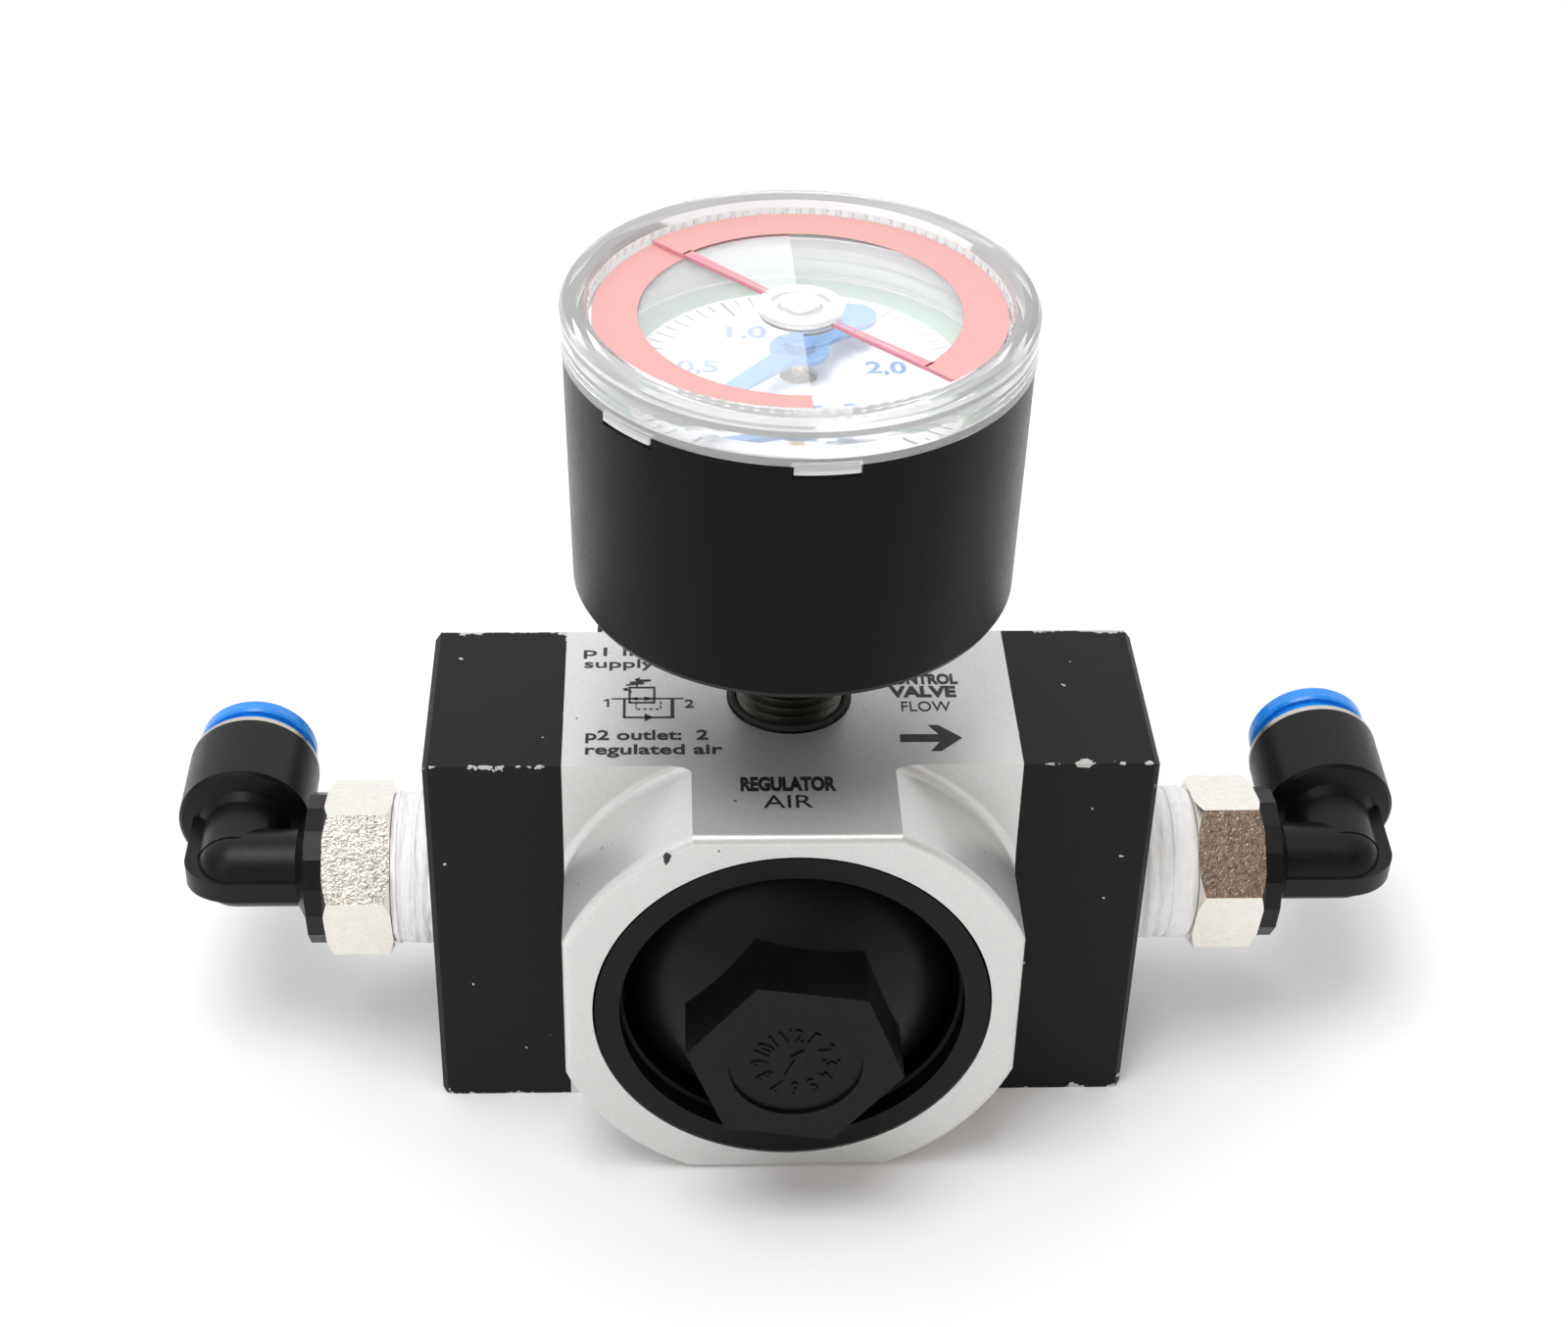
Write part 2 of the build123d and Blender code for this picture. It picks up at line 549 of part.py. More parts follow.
def tail_pin_place():
    """Rest position of the sector's tail pin."""
    angle = radians(TAIL_REST)
    return TAIL_R * cos(angle), PIVOT_Y + TAIL_R * sin(angle)


def tube_tip_place():
    """Rest position of the pin on the Bourdon tube's free end."""
    angle = radians(TIP_ANGLE)
    return TUBE_RING_R * cos(angle), TUBE_RING_R * sin(angle)


def link():
    """Flat link from the tube's tip to the sector's tail."""
    x0, y0 = tail_pin_place()
    x1, y1 = tube_tip_place()
    length, angle = hypot(x1 - x0, y1 - y0), degrees(atan2(y1 - y0, x1 - x0))
    bar = extrude(SlotCenterToCenter(length, 1.8), 0.5)
    middle = Pos((x0 + x1) / 2, (y0 + y1) / 2, GEAR_Z1 + 0.1)
    bar = middle * Rot(0, 0, angle) * bar
    for x, y in ((x0, y0), (x1, y1)):
        bar -= Pos(x, y, 0) * rod(0.6, 60, 70)
    return bar


def bourdon_tube():
    """Flattened pressure tube bent to three quarters of a ring, with its tip plug and pin."""
    root = degrees(asin(ARM_HALF / (TUBE_RING_R - TUBE_HALF))) + 0.05

    def flat_tube(half_width, half_height):
        section = Plane.XZ * Pos(TUBE_RING_R, (TUBE_Z0 + TUBE_Z1) / 2) * Ellipse(half_width, half_height)
        return Rot(0, 0, TUBE_START + root) * revolve(section, Axis.Z, TUBE_SPAN - root)

    height = (TUBE_Z1 - TUBE_Z0) / 2
    tube = flat_tube(TUBE_HALF, height) - flat_tube(TUBE_HALF - 0.4, height - 0.4)
    tip = Rot(0, 0, TIP_ANGLE) * block(13.0, 15.4, 0, 1.0, TUBE_Z0 + 1, TUBE_Z1 - 0.5)
    pin = rod(1.1, TUBE_Z0 + 1, TUBE_Z1) + rod(0.4, TUBE_Z0 + 1, GEAR_Z1 + 1)
    return tube + tip + Pos(*tube_tip_place(), 0) * pin


POST_PLACES = ((-3.3, 4.6), (3.3, 4.6), (-4.2, -10.6), (4.2, -10.6))


def movement_frame():
    """Two plates on four posts, which carry the pinion shaft and the sector's pivot."""
    low = block(-5.2, 5.2, -14.2, 5.8, MOVEMENT_Z, MOVEMENT_Z + 0.8)
    high = block(-5.2, 5.2, -14.2, 5.8, FRAME_TOP - 0.8, FRAME_TOP)
    frame = low + high
    for x, y in POST_PLACES:
        frame += Pos(x, y, 0) * rod(0.8, MOVEMENT_Z, FRAME_TOP)
    for y in (0, PIVOT_Y):
        frame -= Pos(0, y, 0) * rod(ARBOR_R + 0.06, 60, 70)
    for x, y in MOVEMENT_SCREWS:
        frame -= Pos(x, y, 0) * rod(0.95, 60, 64)
        frame -= Pos(x, y, 0) * rod(1.6, 66, 68)
    return frame


def movement_screws():
    """Two small screws that hold the movement on the gauge socket."""
    screw = rod(0.8, 58.6, 62.3) + rod(1.4, 62.2, 63.0)
    screw -= block(-1.5, 1.5, -0.2, 0.2, 62.7, 64)
    return [Pos(x, y, 0) * screw for x, y in MOVEMENT_SCREWS]


def hairspring():
    """Flat spiral that takes up the play between the teeth."""
    turns, r0, r1, half = 4, 1.0, 3.3, 0.06
    steps = 24 * turns
    def rail(offset):
        return [
            ((r0 + (r1 - r0) * i / steps + offset) * cos(2 * pi * turns * i / steps),
             (r0 + (r1 - r0) * i / steps + offset) * sin(2 * pi * turns * i / steps))
            for i in range(steps + 1)
        ]
    outline = Polyline(*rail(half), *reversed(rail(-half)), close=True)
    return Pos(0, 0, 65.4) * extrude(make_face(outline), 0.6)


def pointer():
    """Pointer with a round hub and a broad tail, on its stop just below zero."""
    arm = make_face(
        Polyline((0, -1.2), (11.0, -0.7), (13.5, -0.1), (13.5, 0.1), (11.0, 0.7), (0, 1.2), close=True)
    )
    tail = make_face(Polyline((0, -1.1), (-TAIL_LENGTH, -1.6), (-TAIL_LENGTH, 1.6), (0, 1.1), close=True))
    blade = extrude(arm + tail, POINTER_T)
    hub = rod(2.5, 0, POINTER_T) + Pos(-TAIL_LENGTH, 0, 0) * rod(2.0, 0, POINTER_T)
    shape = Pos(0, 0, POINTER_Z) * (blade + hub + rod(1.3, -0.5, 1.2))
    return Rot(0, 0, POINTER_REST) * (shape - rod(ARBOR_R, 60, POINTER_Z + 0.9))


# ---------------------------------------------------------------- push-in elbows
HEX_FLATS, HEX_LENGTH = 14.0, 6.1
COLLAR_END = 7.7
ARM_R = 3.6              # plastic tube of the elbow's short arm
WEB_HALF_T = 1.1         # flat web in the plane of both arms
WEB_HALF_WIDTH = 3.75
WEB_REACH = 4.7          # web beyond the socket axis
NECK_SOCKET_R = 3.7
BARREL_R = 6.2
BARREL_Y0, BARREL_Y1 = 6.35, 14.5
TUBE_STOP_Y = 6.9        # shoulder where a pushed-in tube stops
RING_END = 15.3
RELEASE_END = 18.8
RELEASE_TRAVEL = 1.3


def fitting(name, shape):
    """Places a fitting piece, made along +Z from the hexagon's inner face, on its side."""
    return along_x(shape, SIDE[name] * HEX_START[name], SIDE[name])


def tilted(name, shape):
    """Turns an elbow's piece about the port axis to the angle that the elbow stands at."""
    return Pos(0, 0, AXIS_Z) * Rot(ELBOW_TILT[name], 0, 0) * Pos(0, 0, -AXIS_Z) * shape


def socket_piece(name, shape):
    """Places a piece made along +Z on the elbow's tube socket, which points along +Y."""
    x = SIDE[name] * (HEX_START[name] + SOCKET_S)
    return tilted(name, Pos(x, 0, 0) * TO_Y * shape)


def fitting_stem(name):
    """Plated hexagon with a taper thread inwards and the swivel socket outwards."""
    hexagon = polygon_bar(HEX_FLATS, 0, HEX_LENGTH, 6, 15 * SIDE[name])
    chamfered = lathe(
        (0, 0), (7.25, 0), (8.1, 0.5), (8.1, HEX_LENGTH - 0.5), (7.25, HEX_LENGTH), (0, HEX_LENGTH)
    )
    stem = (hexagon & chamfered) + lathe((0, -9.6), (5.9, -9.6), (6.25, -9.2), (6.3, 0.1), (0, 0.1))
    stem -= rod(3.0, -10, 1)
    stem -= rod(SWIVEL_R + 0.05, 0.4, HEX_LENGTH + 1)
    stem -= rod(4.95, 0.9, 1.7)
    return fitting(name, stem)


def thread_tape(name):
    """Sealing tape on the taper thread, thicker where it shows outside the port."""
    shown = HEX_START[name] - PLATE_OUT
    tape = lathe(
        (6.31, -9.0), (6.56, -9.0), (6.56, -shown), (7.0, -shown + 0.05), (7.05, -0.8),
        (6.8, -0.02), (6.31, -0.02),
    )
    return fitting(name, tape)


def swivel_collar(name):
    """Faceted ring that closes the swivel."""
    collar = polygon_bar(HEX_FLATS - 0.3, HEX_LENGTH + 0.05, COLLAR_END, 16, 0)
    return fitting(name, collar - rod(SWIVEL_R, 5, 8))


def swivel_seal(name):
    """Seal in the spigot's groove."""
    return fitting(name, o_ring(3.98, 0.5, 3.6))


def elbow(name):
    """Plastic elbow: spigot, short arm with its web, neck and tube barrel."""
    spigot = rod(SWIVEL_R, 0.6, COLLAR_END + 0.2) + rod(4.88, 1.0, 1.6)
    spigot -= ring(SWIVEL_R + 1, 3.45, 3.0, 4.2)
    arm = rod(ARM_R, 7, SOCKET_S) + Pos(0, 0, SOCKET_S) * Sphere(ARM_R)
    arm += lathe(
        (0, COLLAR_END), (5.2, COLLAR_END), (5.2, COLLAR_END + 0.3), (ARM_R, COLLAR_END + 1.2),
        (0, COLLAR_END + 1.2),
    )
    outline = make_face(
        Polyline(
            (COLLAR_END, 0), (COLLAR_END, -WEB_HALF_WIDTH), (SOCKET_S, -WEB_HALF_WIDTH), (SOCKET_S, 0),
            close=True,
        )
    ) + Pos(SOCKET_S, 0) * Ellipse(WEB_REACH, WEB_HALF_WIDTH)
    outline += make_face(
        Polyline(
            (SOCKET_S, 0), (SOCKET_S + WEB_REACH, 0), (SOCKET_S + WEB_REACH, BARREL_Y0 + 0.5),
            (SOCKET_S, BARREL_Y0 + 0.5), close=True,
        )
    )
    web = Pos(0, 0, -WEB_HALF_T) * extrude(outline, 2 * WEB_HALF_T)
    side = SIDE[name]
    horizontal = along_x(spigot + arm, side * HEX_START[name], side)
    web = Pos(side * HEX_START[name], 0, AXIS_Z) * mirrored(web, side)
    upright = lathe(
        (0, 0), (NECK_SOCKET_R, 0), (NECK_SOCKET_R, 5.2), (4.3, 5.9), (5.9, BARREL_Y0),
        (BARREL_R, BARREL_Y0 + 0.3), (BARREL_R, BARREL_Y1), (0, BARREL_Y1),
    )
    body = tilted(name, horizontal + web) + socket_piece(name, upright)
    body -= fitting(name, rod(2.5, 0, SOCKET_S))
    body -= socket_piece(name, Sphere(2.5))
    body -= socket_piece(name, rod(2.5, 0, 7.5) + rod(TUBE_R, TUBE_STOP_Y, 7.4) + rod(5.5, 7.4, 20))
    return body


def mirrored(shape, side):
    """The shape, or its mirror image across the YZ plane for the inlet side."""
    return shape if side > 0 else mirror(shape, Plane.YZ)


def tube_seal(name):
    """Lip seal that grips the tube at the bottom of the socket."""
    seal = lathe((4.15, 7.45), (5.45, 7.45), (5.45, 9.0), (4.6, 9.0), (4.15, 8.6))
    return socket_piece(name, seal)


def collet(name):
    """Steel gripping ring with slotted fingers, between seal and barrel ring."""
    grip = lathe((4.15, 9.3), (4.75, 9.1), (5.3, 9.1), (5.3, 10.4), (4.8, 10.4))
    for i in range(8):
        grip -= Rot(0, 0, 45 * i) * block(4.0, 6.0, -0.25, 0.25, 9.0, 10.0)
    return socket_piece(name, grip)


def barrel_ring(name):
    """Metal ring that closes the barrel and keeps the release ring in."""
    cap = lathe(
        (5.1, 12.4), (5.5, 12.4), (5.5, BARREL_Y1), (BARREL_R - 0.05, BARREL_Y1),
        (BARREL_R - 0.05, RING_END - 0.2), (BARREL_R - 0.25, RING_END), (5.1, RING_END),
    )
    return socket_piece(name, cap)


def release_ring(name):
    """Blue ring that opens the collet when pushed in."""
    outer = lathe(
        (TUBE_R, 12.0), (4.4, 11.8), (5.05, 12.2), (5.05, RING_END + RELEASE_TRAVEL + 0.2),
        (5.5, RING_END + RELEASE_TRAVEL + 0.2), (5.65, RING_END + RELEASE_TRAVEL + 0.5),
        (5.65, RELEASE_END - 0.6), (5.3, RELEASE_END - 0.1), (5.0, RELEASE_END),
        (4.6, RELEASE_END), (TUBE_R, RELEASE_END - 0.4),
    )
    return socket_piece(name, outer)


# ---------------------------------------------------------------- write every sub-part
def write(node, shapes):
    """Exports one node; a list of shapes becomes a group of separate solids."""
    shape = Compound(shapes) if isinstance(shapes, list) else shapes
    export_step(shape, f"parts/{node}.step")


os.makedirs("parts", exist_ok=True)

SINGLE_PIECES = (
    valve_body, plate_screws, plate_seals, bottom_plug, bottom_plug_seal, valve_seat, poppet,
    poppet_seal, return_spring, check_valve, diaphragm, diaphragm_plate, spring_plate,
    setting_spring, bonnet, detent_ring, adjusting_spindle, spring_nut, knob, rear_port_plug,
    rear_plug_seal, gauge_seal, gauge_socket, gauge_case, gauge_cover, dial, disc_hub_cap,
    pointer_shaft, sector_gear, link, bourdon_tube, movement_frame, movement_screws, hairspring,
    pointer,
)
for make in SINGLE_PIECES:
    write(make.__name__, make())

write("range_disc_low", range_disc(DISC_LOW_Z, DISC_LOW_EDGE))
write("range_disc_high", range_disc(DISC_HIGH_Z, DISC_HIGH_EDGE))

SIDE_PIECES = (
    fitting_stem, thread_tape, swivel_collar, swivel_seal, elbow, tube_seal, collet, barrel_ring,
    release_ring,
)
for name in SIDE:
    write(f"{name}_plate", end_plate(name))
    for make in SIDE_PIECES:
        write(f"{name}_{make.__name__}", make(name))
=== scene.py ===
"""Studio scene of the pneumatic pressure regulator: camera, light, materials and surface detail.

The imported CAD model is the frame. Lengths named here are millimetres in the frame's own axes
(+Z up from the back face, +X along the flow, +Y towards the knob) unless a name says otherwise.
"""

import json
import random
from math import cos, exp, hypot, pi, radians, sin

import bmesh
import bpy
from mathutils import Matrix, Vector, noise


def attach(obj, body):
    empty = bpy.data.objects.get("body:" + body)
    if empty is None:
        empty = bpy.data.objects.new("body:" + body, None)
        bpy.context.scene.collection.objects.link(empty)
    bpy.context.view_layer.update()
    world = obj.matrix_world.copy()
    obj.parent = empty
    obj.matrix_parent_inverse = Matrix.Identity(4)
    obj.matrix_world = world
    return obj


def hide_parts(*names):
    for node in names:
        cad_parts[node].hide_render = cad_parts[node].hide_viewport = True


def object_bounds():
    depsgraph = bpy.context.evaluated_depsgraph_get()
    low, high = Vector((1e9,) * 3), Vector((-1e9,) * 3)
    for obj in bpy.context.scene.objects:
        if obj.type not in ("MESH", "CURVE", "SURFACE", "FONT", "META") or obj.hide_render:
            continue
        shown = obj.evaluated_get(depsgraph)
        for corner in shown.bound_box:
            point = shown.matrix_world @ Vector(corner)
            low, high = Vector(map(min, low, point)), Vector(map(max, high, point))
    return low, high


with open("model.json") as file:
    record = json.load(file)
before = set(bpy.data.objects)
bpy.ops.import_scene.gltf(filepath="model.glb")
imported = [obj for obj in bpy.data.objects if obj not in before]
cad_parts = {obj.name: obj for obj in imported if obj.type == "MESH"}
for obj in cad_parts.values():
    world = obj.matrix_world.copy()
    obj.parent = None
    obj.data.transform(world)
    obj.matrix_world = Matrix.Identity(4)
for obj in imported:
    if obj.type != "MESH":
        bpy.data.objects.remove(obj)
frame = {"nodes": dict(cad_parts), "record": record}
cad_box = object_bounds()
MM = 0.001
scene = bpy.context.scene

# ---------------------------------------------------------------- places taken from the frame
AXIS_Z = 19.5
BODY_TOP = 39.0
BOSS_FACE = -20.0
PLATE_IN, PLATE_OUT = 20.0, 32.0
DIAL_TOP = 71.3
NECK_R, NECK_START, NECK_END = 18.0, 20.0, 40.0
SIDES = {"inlet": -1, "outlet": 1}
HEX_START = {"inlet": 36.0, "outlet": 37.8}
INK = 0.03               # thickness of printed ink
INK_GAP = 0.005          # gap under printed ink


# ---------------------------------------------------------------- camera and light
def add_camera():
    """Camera at the photograph's viewing angle, from its place, elevation, azimuth and roll."""
    eye = Vector((-11.315, -196.976, 185.125)) * MM
    elevation, azimuth, roll = radians(35.849), radians(-3.138), radians(1.621)
    back = Vector((sin(azimuth) * cos(elevation), -cos(azimuth) * cos(elevation), sin(elevation)))
    right = Vector((cos(azimuth), sin(azimuth), 0))
    up = back.cross(right)
    rolled_right = cos(roll) * right + sin(roll) * up
    rolled_up = cos(roll) * up - sin(roll) * right
    data = bpy.data.cameras.new("camera")
    data.sensor_width = 36.0
    data.lens = 63.15
    data.clip_start, data.clip_end = 0.01, 20.0
    camera = bpy.data.objects.new("camera", data)
    camera.matrix_world = Matrix((rolled_right, rolled_up, back)).transposed().to_4x4()
    camera.location = eye
    scene.collection.objects.link(camera)
    scene.camera = camera


def add_softbox(name, at, towards, size, watts):
    """Rectangular area lamp facing a point; places and size in metres."""
    data = bpy.data.lights.new(name, "AREA")
    data.shape = "RECTANGLE"
    data.size, data.size_y = size
    data.energy = watts
    lamp = bpy.data.objects.new(name, data)
    lamp.location = at
    lamp.rotation_euler = (Vector(towards) - Vector(at)).to_track_quat("-Z", "Y").to_euler()
    scene.collection.objects.link(lamp)


def add_studio():
    """Pale surroundings, lighter behind and dark in one corner, with two softboxes and a floor."""
    world = bpy.data.worlds.new("studio")
    world.use_nodes = True
    tree = world.node_tree
    background = tree.nodes["Background"]
    direction = tree.nodes.new("ShaderNodeTexCoord").outputs["Generated"]

    def share_towards(heading, low, high):
        facing = tree.nodes.new("ShaderNodeVectorMath")
        facing.operation = "DOT_PRODUCT"
        facing.inputs[1].default_value = Vector(heading).normalized()
        tree.links.new(direction, facing.inputs[0])
        return add_range(tree, facing.outputs["Value"], low, high, 0.0, 1.0)

    front_wall, back_wall, dark_corner = (0.40, 0.40, 0.40), (0.86, 0.86, 0.86), (0.15, 0.078, 0.038)
    room = add_mix(tree, share_towards((0, 0.75, 0.66), 0.2, 1.0), front_wall, back_wall)
    room = add_mix(tree, share_towards((0.36, -0.62, 0.70), 0.86, 0.97), room, dark_corner)
    tree.links.new(room, background.inputs["Color"])
    background.inputs["Strength"].default_value = 1.42
    scene.world = world
    middle = (0, 0, 0.03)
    add_softbox("overhead", (-0.14, -0.14, 0.74), middle, (0.42, 0.42), 2.9)
    add_softbox("front_left", (-0.55, -0.55, 0.50), middle, (0.5, 0.5), 0.7)
    scene.view_settings.view_transform = "Standard"
    scene.view_settings.exposure = 0.0
    bounces = 24
    scene.cycles.max_bounces = bounces
    scene.cycles.transmission_bounces = bounces
    scene.cycles.transparent_max_bounces = bounces

    mesh = bpy.data.meshes.new("floor")
    reach, gap = 3.0, 0.00002
    corners = [(-reach, -reach, 0), (reach, -reach, 0), (reach, reach, 0), (-reach, reach, 0)]
    mesh.from_pydata(corners, [], [(0, 1, 2, 3)])
    floor = bpy.data.objects.new("floor", mesh)
    floor.location.z = cad_box[0][2] - gap
    scene.collection.objects.link(floor)
    paper = grained("floor_paper", (0.96, 0.96, 0.96), 0.8, tint=0.005, grain=900, bump=0.05)
    mesh.materials.append(paper)


# ---------------------------------------------------------------- materials
def new_material(name):
    """Empty node material; returns it with its tree, shader node and object coordinates."""
    material = bpy.data.materials.new(name)
    material.use_nodes = True
    tree = material.node_tree
    coordinates = tree.nodes.new("ShaderNodeTexCoord")
    return material, tree, tree.nodes["Principled BSDF"], coordinates.outputs["Object"]


def add_noise(tree, vector, scale, detail=3.0, rough=0.55):
    """Noise texture node's value; scale is in waves per metre."""
    node = tree.nodes.new("ShaderNodeTexNoise")
    node.inputs["Scale"].default_value = scale
    node.inputs["Detail"].default_value = detail
    node.inputs["Roughness"].default_value = rough
    tree.links.new(vector, node.inputs["Vector"])
    return node.outputs["Fac"]


def add_range(tree, value, low, high, to_low, to_high):
    """Remaps a value from one range to another and clamps it."""
    node = tree.nodes.new("ShaderNodeMapRange")
    for socket, number in zip(("From Min", "From Max", "To Min", "To Max"), (low, high, to_low, to_high)):
        node.inputs[socket].default_value = number
    tree.links.new(value, node.inputs["Value"])
    return node.outputs["Result"]


def add_mix(tree, factor, first, second):
    """Mixes two colours, each given as numbers or as a socket."""
    node = tree.nodes.new("ShaderNodeMix")
    node.data_type = "RGBA"
    tree.links.new(factor, node.inputs["Factor"])
    for socket, colour in ((node.inputs[6], first), (node.inputs[7], second)):
        if isinstance(colour, tuple):
            socket.default_value = (*colour, 1)
        else:
            tree.links.new(colour, socket)
    return node.outputs[2]


def add_math(tree, operation, *values):
    """Math node over sockets or numbers."""
    node = tree.nodes.new("ShaderNodeMath")
    node.operation = operation
    for socket, value in zip(node.inputs, values):
        if isinstance(value, (int, float)):
            socket.default_value = value
        else:
            tree.links.new(value, socket)
    return node.outputs[0]


def add_bump(tree, height, shader, strength, distance):
    """Bump from a height value; distance is in metres."""
    node = tree.nodes.new("ShaderNodeBump")
    node.inputs["Strength"].default_value = strength
    node.inputs["Distance"].default_value = distance
    tree.links.new(height, node.inputs["Height"])
    tree.links.new(node.outputs["Normal"], shader.inputs["Normal"])


def add_blend(tree, factor, first, second):
    """Mixes two shaders; the factor is a number or a socket."""
    node = tree.nodes.new("ShaderNodeMixShader")
    if isinstance(factor, float):
        node.inputs[0].default_value = factor
    else:
        tree.links.new(factor, node.inputs[0])
    tree.links.new(first, node.inputs[1])
    tree.links.new(second, node.inputs[2])
    return node.outputs[0]


def shaded(colour, share):
    """A colour scaled in brightness."""
    return tuple(max(0.0, min(1.0, c * share)) for c in colour)


def grained(name, colour, roughness, metal=0.0, tint=0.1, grain=2500.0, spread=0.06, bump=0.15,
            relief=0.00003, specular=0.5, sheen=0.0):
    """Surface with fine grain in its colour, roughness and relief."""
    material, tree, shader, place = new_material(name)
    fine = add_noise(tree, place, grain)
    broad = add_noise(tree, place, grain / 18, 2.0)
    fine_part = add_math(tree, "MULTIPLY", fine, 0.6)
    broad_part = add_math(tree, "MULTIPLY", broad, 0.4)
    both = add_math(tree, "ADD", fine_part, broad_part)
    spot = add_range(tree, both, 0.35, 0.65, 0.0, 1.0)
    mottled = add_mix(tree, spot, shaded(colour, 1 - tint), shaded(colour, 1 + tint))
    tree.links.new(mottled, shader.inputs["Base Color"])
    rough = add_range(tree, both, 0.35, 0.65, roughness - spread, roughness + spread)
    tree.links.new(rough, shader.inputs["Roughness"])
    shader.inputs["Metallic"].default_value = metal
    shader.inputs["Specular IOR Level"].default_value = specular
    shader.inputs["Sheen Weight"].default_value = sheen
    shader.inputs["Sheen Roughness"].default_value = 0.35
    add_bump(tree, fine, shader, bump, relief)
    return material


def die_cast_paint():
    """Silver paint with metallic flakes over a fine orange peel."""
    material, tree, shader, place = new_material("die_cast")
    flakes = tree.nodes.new("ShaderNodeTexVoronoi")
    flakes.inputs["Scale"].default_value = 6500
    tree.links.new(place, flakes.inputs["Vector"])
    flake = tree.nodes.new("ShaderNodeSeparateColor")
    tree.links.new(flakes.outputs["Color"], flake.inputs[0])
    sparkle = add_range(tree, flake.outputs[0], 0.0, 1.0, 0.0, 1.0)
    cloud = add_noise(tree, place, 160, 3.0)
    base = add_mix(tree, sparkle, (0.66, 0.665, 0.655), (0.73, 0.73, 0.72))
    base = add_mix(tree, add_range(tree, cloud, 0.3, 0.7, 0.0, 0.3), base, (0.64, 0.645, 0.635))
    speck = add_math(tree, "GREATER_THAN", add_noise(tree, place, 1100, 1.0), 0.785)
    tree.links.new(add_mix(tree, speck, base, (0.12, 0.12, 0.11)), shader.inputs["Base Color"])
    tree.links.new(add_range(tree, flake.outputs[1], 0.0, 1.0, 0.36, 0.44), shader.inputs["Roughness"])
    shader.inputs["Metallic"].default_value = 0.55
    peel = add_noise(tree, place, 2600, 3.0)
    add_bump(tree, peel, shader, 0.10, 0.00003)
    return material


def worn_black_coat():
    """Black coat on metal, with bright nicks along the plates' edges and a few specks."""
    material, tree, shader, place = new_material("black_coat")
    axes = tree.nodes.new("ShaderNodeSeparateXYZ")
    tree.links.new(place, axes.inputs[0])

    def edge_distance(axis, low, high):
        middle, half = (low + high) / 2 * MM, (high - low) / 2 * MM
        offset = add_math(tree, "ABSOLUTE", add_math(tree, "SUBTRACT", axes.outputs[axis], middle))
        return add_math(tree, "SUBTRACT", half, offset)

    outward = add_math(tree, "SUBTRACT", PLATE_OUT * MM, add_math(tree, "ABSOLUTE", axes.outputs[0]))
    inward = add_math(tree, "SUBTRACT", add_math(tree, "ABSOLUTE", axes.outputs[0]), (PLATE_IN - 0.25) * MM)
    across = add_math(tree, "MINIMUM", outward, inward)
    deep, high = edge_distance(1, -10, 10), edge_distance(2, 0, BODY_TOP)
    near = None
    for first, second, guard in ((across, deep, 1.5), (deep, high, 0.55), (high, across, 1.3)):
        reach = add_math(tree, "MULTIPLY", add_math(tree, "MAXIMUM", first, second), guard)
        near = reach if near is None else add_math(tree, "MINIMUM", near, reach)
    nick_noise = add_noise(tree, place, 420, 4.0, 0.65)
    limit = add_range(tree, nick_noise, 0.52, 0.70, 0.0, 0.00045)
    nick = add_math(tree, "LESS_THAN", near, limit)
    speck_noise = add_noise(tree, place, 900, 1.0)
    speck = add_math(tree, "GREATER_THAN", speck_noise, 0.77)
    worn = add_math(tree, "MAXIMUM", nick, speck)
    fine = add_noise(tree, place, 3200, 3.0)
    black, worn_black = (0.0045, 0.0052, 0.0050), (0.0080, 0.0090, 0.0086)
    coat = add_mix(tree, add_range(tree, fine, 0.35, 0.65, 0.0, 1.0), black, worn_black)
    tree.links.new(add_mix(tree, worn, coat, (0.55, 0.55, 0.53)), shader.inputs["Base Color"])
    rough = add_range(tree, fine, 0.3, 0.7, 0.36, 0.5)
    tree.links.new(rough, shader.inputs["Roughness"])
    shader.inputs["Specular IOR Level"].default_value = 0.15
    add_bump(tree, fine, shader, 0.2, 0.00003)
    return material


